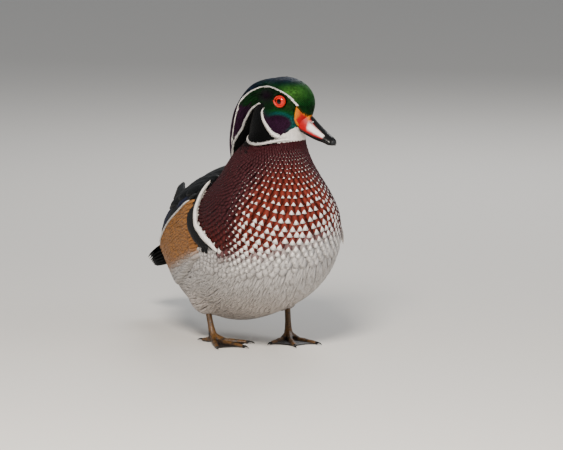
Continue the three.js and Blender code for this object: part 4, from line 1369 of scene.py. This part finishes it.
def in_bill(local):
    """Whether head places lie on the horn of the bill, in front of the face's edge."""
    ahead, up = local[..., 0], local[..., 2]
    face = np.interp(up, *FACE_EDGE)
    return (ahead > face + 0.3) & (up > -31) & (up < brow_edge(ahead))


def bill_tint(local):
    """Horn of the upper bill: yellow at the face, red sides, a pale patch, and black ridge, edge and nail."""
    ahead, up = local[..., 0], local[..., 2]
    top = np.interp(ahead, BILL[:, 0], BILL[:, 2])
    gape = np.interp(ahead, BILL[:, 0], BILL[:, 3])
    height = (up - gape) / np.maximum(top - gape, 1)
    # How far in front of the nearest feathers
    behind = np.minimum(ahead - np.interp(up, *FACE_EDGE),
                        0.9 * (brow_edge(ahead) - up) + 0.3 + 20 * ease(27, 30, ahead))
    mark = mix(tone("bill_red") + 0 * ahead[..., None], tone("bill_yellow"),
               ease(6.5 - 4.6 * ease(0.8, 0.35, height), 1.5, behind))
    pale = ease(0.2, 0.27, height) * ease(0.74, 0.66, height)
    pale = pale * ease(26.5, 29.5, ahead - 2 * (height - 0.5)) * ease(50, 47, ahead)
    mark = mix(mark, tone("bill_pale"), pale)
    ridge = np.interp(ahead, (26, 32, 48), (0.95, 0.8, 0.66))
    for dark in (ease(-0.05, 0.03, height - ridge) * ease(25, 28.5, ahead),
                 ease(46.5, 48.5, ahead + 2.5 * (1 - height)),
                 ease(0.10, 0.04, height) * ease(15, 17, ahead)):
        mark = mix(mark, tone("horn"), dark)
    return mark


def lofted(rings, name, closed=False):
    """A mesh over rings of points, capped at its ends or closed into a ring itself."""
    bm = bmesh.new()
    loops = []
    for ring in rings:
        verts = [bm.verts.new(Vector(p)) for p in metres(ring)]
        loops.append([bm.edges.new((a, b)) for a, b in zip(verts, verts[1:] + verts[:1])])
    for first, second in zip(loops, loops[1:] + loops[:closed]):
        bmesh.ops.bridge_loops(bm, edges=first + second)
    for end in () if closed else (loops[0], loops[-1]):
        bmesh.ops.contextual_create(bm, geom=end)
    bmesh.ops.recalc_face_normals(bm, faces=bm.faces)
    mesh = drained(bm, bpy.data.meshes.new(name))
    smooth(mesh)
    return mesh


def upper_ring(s, c, d):
    """One outline of the upper bill, at a share of its length: out and up by cosine and sine round it."""
    _, half, top, gape = bend(BILL, s)
    waist = 1 - 0.12 * ease(0.45, 0.7, s) + 0.10 * ease(0.72, 0.86, s)
    narrow = np.sign(c) * np.abs(c) ** np.interp(s, (0.1, 0.5, 0.9), (0.8, 0.72, 0.6))
    out = half * narrow * waist * np.where(d > 0, 1 - 0.42 * np.clip(d, 0, 1) ** 1.5 * (s < 0.9), 1)
    if s > 0.9:
        out = out * np.sqrt(np.clip((1.02 - s) / 0.12, 0.02, 1))
    return out, gape + np.where(d > 0, d * (top - gape), d * 0.9)


def lower_ring(s, c, d):
    """One outline of the lower jaw."""
    _, half, _, gape = bend(BILL, s)
    fade = np.interp(s, (0, 0.7, 0.9), (1, 1, 0.3))
    out = (half - 1.2) * c * np.abs(c) ** -0.2 * fade ** 0.4
    return out, gape - 0.5 + np.where(d < 0, d * 4.4 * fade, d * 0.3)


def nostril_depth(local, side, size):
    """How deep in a nostril head places lie, by the size of its hollow."""
    off = np.linalg.norm((local - np.multiply(NOSTRIL, (1, side, 1))) / size, axis=1)
    return np.exp(-off ** 4)[:, None]


class DUCK_OT_bill(bpy.types.Operator):
    """Shape the bill with its ridge, nostrils, hooked nail and lower jaw"""
    bl_idname = "duck.bill"
    bl_label = "Bill"

    def execute(self, context):
        angle = np.arange(56) / 56 * 2 * math.pi
        c, d = np.cos(angle), np.sin(angle)
        for name, outline, last in (("bill_upper", upper_ring, 1.0), ("bill_lower", lower_ring, 0.9)):
            rings = []
            for s in np.linspace(0.12, last, 70):
                out, up = outline(s, c, d)
                rings.append(on_head(bend(BILL, s)[0] + 0 * c, out, up))
            mesh = lofted(rings, "loft")
            points = points_of(mesh)
            local = in_head(points)
            tint = tone("horn") + np.zeros(local.shape)
            if outline is upper_ring:
                tint = bill_tint(local)
                for side in (RIGHT, LEFT):
                    points = points - (LEFTWARD * side) * nostril_depth(local, side, (2.6, 6.0, 1.3))
                    # The nostril's hollow is darkened toward black horn: painted shade inside the hole
                    dark = nostril_depth(local, side, (2.3, 6.0, 1.2))[:, 0] * 0.9
                    tint = mix(tint, tone("horn"), dark)
                place_points(mesh, points)
            attach_tint(mesh, tint)
            mesh.materials.append(horn())
            finished(mesh, f"{name}_horn", [name])
        return {"FINISHED"}


# The eye, in metres: radius, and how far its middle lies from the head's
EYE_RADIUS, EYE_OUT = 0.0068, 0.0134
# Millimetres off its axis from which the pupil and the iris end; what lies behind the lid counts as far off
PUPIL_RIM, IRIS_RIM, BEHIND_LID = (2.7, 2.9), (4.9, 5.6), 9.0
CORNEA_IOR = 1.376
# The lid's rim: radius and how far out, each with its thickness, and the points round the eye and the rim
LID_RADIUS, LID_OUT, LID_POINTS = (6.0, 0.95), (18.2, 1.25), (64, 14)


def eyeball(side, name):
    basis = Matrix([list(AHEAD), list(LEFTWARD), list(UP)]).transposed().to_4x4()
    seat = Matrix.Translation(Vector(metres(BETWEEN_EYES))) @ basis
    bm = bmesh.new()
    bmesh.ops.create_uvsphere(bm, u_segments=40, v_segments=26, radius=EYE_RADIUS)
    bmesh.ops.rotate(bm, verts=bm.verts, matrix=Matrix.Rotation(math.radians(90), 3, "X"))
    bmesh.ops.translate(bm, verts=bm.verts, vec=(0, side * EYE_OUT, 0))
    bmesh.ops.transform(bm, verts=bm.verts, matrix=seat)
    mesh = drained(bm, bpy.data.meshes.new(name))
    smooth(mesh)
    local = in_head(points_of(mesh))
    off = np.where(local[:, 1] * side > 12, np.hypot(local[:, 0], local[:, 2]), BEHIND_LID)
    attach(mesh, "off_axis", "FLOAT", off)
    return mesh


def lid(side, name):
    """A ring of bare skin, a little wider than high, drawn out at its back corner."""
    turn = np.linspace(0, 2 * math.pi, LID_POINTS[0], endpoint=False)
    corner = 1 + 0.10 * np.exp(-((np.angle(np.exp(1j * (turn - math.pi))) / 0.35) ** 2))
    rings = []
    for k in range(LID_POINTS[1]):
        b = k / LID_POINTS[1] * 2 * math.pi
        radius = LID_RADIUS[0] + LID_RADIUS[1] * math.cos(b)
        out = LID_OUT[0] + LID_OUT[1] * math.sin(b) + 0.1 * np.sin(9 * turn)
        rings.append(on_head(radius * 1.03 * corner * np.cos(turn), side * out, radius * 0.9 * np.sin(turn)))
    return lofted(rings, name, closed=True)


class DUCK_OT_eyes(bpy.types.Operator):
    """Set the red eyes in their rings of bare skin"""
    bl_idname = "duck.eyes"
    bl_label = "Eyes"

    def execute(self, context):
        clear, bare = eye_material(), bare_skin_material()
        for side, hand in SIDES:
            ball, rim = eyeball(side, f"eyeball_{hand}"), lid(side, f"lid_{hand}")
            ball.materials.append(clear)
            finished(ball, f"eyeball_{hand}", [f"eye_{hand}"])
            rim.materials.append(bare)
            finished(rim, f"lid_{hand}", [f"eyelid_{hand}"])
        return {"FINISHED"}


# ---- Legs and feet --------------------------------------------------------------------------------

# Where the toes meet, and how many degrees the foot turns in
FEET = {RIGHT: ((-39.5, 6.5), 19), LEFT: ((40, -8), 15)}
# Toes: name, length, degrees outward from the foot's line
TOES = (("inner", 38, -37), ("middle", 50, 0), ("outer", 44, 35), ("hind", 14, 172))


def foot_tint(points, side):
    """Dark webs and joints, ochre along the top of the toes and up the front of the leg."""
    joint, turn_in = FEET[side]
    d = points[:, :2] - np.array(joint)
    near = np.full(len(points), 1e9)
    knuckle = np.zeros(len(points))
    for _, length, spread in TOES:
        heading = math.radians(side * (spread - turn_in) - 90)
        way = np.array([math.cos(heading), math.sin(heading)])
        far = np.clip(d @ way, 0, length)
        off = np.linalg.norm(d - far[:, None] * way, axis=1)
        knuckle = np.where(off < near, np.cos(far / length * 3 * 2 * math.pi), knuckle)
        near = np.minimum(near, off)
    toe = ease(3.4, 1.8, near) * ease(0.9, 2.2, points[:, 2])
    shank = ease(10, 15, points[:, 2])
    mark = mix(tone("web"), tone("leg"), np.maximum(toe * (1 - 0.75 * ease(0.4, 1.0, knuckle)), shank))
    front = ease(0.5, -0.5, (points[:, 1] - joint[1]) / 3) * ease(8, 16, points[:, 2])
    return mix(mark, tone("leg") * 0.45, 0.6 * (1 - front) * shank)


def relax(mesh, rounds):
    bm = bmesh.new()
    bm.from_mesh(mesh)
    for _ in range(rounds):
        bmesh.ops.smooth_vert(
            bm, verts=bm.verts, factor=0.5, use_axis_x=True, use_axis_y=True, use_axis_z=True)
    drained(bm, mesh)
    smooth(mesh)


class DUCK_OT_feet(bpy.types.Operator):
    """Smooth the legs, webbed feet and claws and give them scaly skin"""
    bl_idname = "duck.feet"
    bl_label = "Legs and feet"

    def execute(self, context):
        scales = scale_material()
        for side, hand in SIDES:
            nodes = [f"leg_{hand}", f"foot_{hand}"]
            mesh = remeshed(nodes, "leg", FOOT_GRAIN)
            relax(mesh, 5)
            attach_tint(mesh, foot_tint(points_of(mesh), side))
            mesh.materials.clear()
            mesh.materials.append(scales)
            finished(mesh, f"foot_skin_{hand}", nodes)
            for kind, *_ in TOES:
                own = f"claw_{hand}_{kind}"
                mesh = remeshed([own], "claw", CLAW_GRAIN)
                relax(mesh, 3)
                attach_tint(mesh, tone("horn") + np.zeros((len(mesh.vertices), 3)))
                mesh.materials.clear()
                mesh.materials.append(horn())
                finished(mesh, f"nail_{hand}_{kind}", [own])
        return {"FINISHED"}


# ---- Stage ----------------------------------------------------------------------------------------

# Lamps: name, place, size, power and tint; all shine on the same place
LAMPS = (
    ("key", (-0.75, -1.35, 1.25), 0.5, 52, (1, 0.93, 0.84)),
    ("fill", (1.2, -1.4, 0.7), 1.4, 9, (0.92, 0.96, 1)),
    ("rim", (0.9, 1.2, 1.3), 0.9, 16, (1, 1, 1)),
)
LAMP_AIM = Vector((0, -0.05, 0.14))
SKY, SKY_POWER = (0.85, 0.88, 0.92, 1), 0.38
FLOOR, FLOOR_HALF = "#d9d6d1", 6
# The camera: turn and tilt, distance, width of the view at the bird, and its aim right of and over the origin
CAMERA_TURN, CAMERA_TILT = math.radians(-23), math.radians(8)
CAMERA_FAR, VIEW_WIDTH, AIM = 6.0, 0.5866, (0.0328, 0.1209)
SENSOR = 36


def looking(name, data, at, away):
    """Sets a lamp or camera at a place, looking against a way."""
    holder = in_scene(name, data)
    holder.location = at
    holder.rotation_mode = "QUATERNION"
    holder.rotation_quaternion = away.to_track_quat("Z", "Y")
    return holder


class DUCK_OT_stage(bpy.types.Operator):
    """Set the pale floor, the soft lamps and the camera"""
    bl_idname = "duck.stage"
    bl_label = "Stage"

    def execute(self, context):
        bm = bmesh.new()
        bmesh.ops.create_grid(bm, x_segments=1, y_segments=1, size=FLOOR_HALF)
        floor = drained(bm, bpy.data.meshes.new("floor"))
        # Matt painted plaster
        made, tree, shader = new_material("Painted_plaster_matt")
        shader.inputs["Base Color"].default_value = (*linear(FLOOR), 1)
        shader.inputs["Roughness"].default_value = 0.9
        floor.materials.append(made)
        in_scene("floor", floor)
        world = bpy.data.worlds.new("studio")
        world.use_nodes = True
        sky = world.node_tree.nodes["Background"].inputs
        sky[0].default_value, sky[1].default_value = SKY, SKY_POWER
        context.scene.world = world
        for name, at, size, power, tint in LAMPS:
            light = bpy.data.lights.new(name, "AREA")
            light.shape, light.size, light.energy, light.color = "DISK", size, power, tint
            looking(name, light, at, Vector(at) - LAMP_AIM)
        away = Vector((math.sin(CAMERA_TURN) * math.cos(CAMERA_TILT),
                       -math.cos(CAMERA_TURN) * math.cos(CAMERA_TILT), math.sin(CAMERA_TILT)))
        right = Vector((math.cos(CAMERA_TURN), math.sin(CAMERA_TURN), 0))
        target = Vector(metres((0, 0, 0))) + right * AIM[0] + away.cross(right) * AIM[1]
        lens = bpy.data.cameras.new("camera")
        lens.sensor_width = SENSOR
        lens.lens = SENSOR * CAMERA_FAR / VIEW_WIDTH
        lens.clip_end = 40
        context.scene.camera = looking("camera", lens, target + away * CAMERA_FAR, away)
        return {"FINISHED"}


STEPS = (DUCK_OT_stage, DUCK_OT_skin, DUCK_OT_body_feathers, DUCK_OT_bars, DUCK_OT_head_feathers,
         DUCK_OT_crest, DUCK_OT_head_stripes, DUCK_OT_wings, DUCK_OT_flanks, DUCK_OT_rump_plumes,
         DUCK_OT_tail, DUCK_OT_bill, DUCK_OT_eyes, DUCK_OT_feet)


class DUCK_PT_panel(bpy.types.Panel):
    """The wood duck's colours and pieces"""
    bl_idname = "DUCK_PT_panel"
    bl_label = "Wood Duck"
    bl_space_type = "VIEW_3D"
    bl_region_type = "UI"
    bl_category = "Wood Duck"

    def draw(self, context):
        for name in PlumageSettings.__annotations__:
            self.layout.prop(settings(), name)
        for step in STEPS:
            self.layout.operator(step.bl_idname)


CLASSES = (PlumageSettings, *STEPS, DUCK_PT_panel)


def register():
    for each in CLASSES:
        bpy.utils.register_class(each)
    bpy.types.Scene.plumage = bpy.props.PointerProperty(type=PlumageSettings)


def unregister():
    del bpy.types.Scene.plumage
    for each in reversed(CLASSES):
        bpy.utils.unregister_class(each)


def main():
    register()
    for step in STEPS:
        group, name = step.bl_idname.split(".")
        getattr(getattr(bpy.ops, group), name)()


if __name__ == "__main__":
    main()
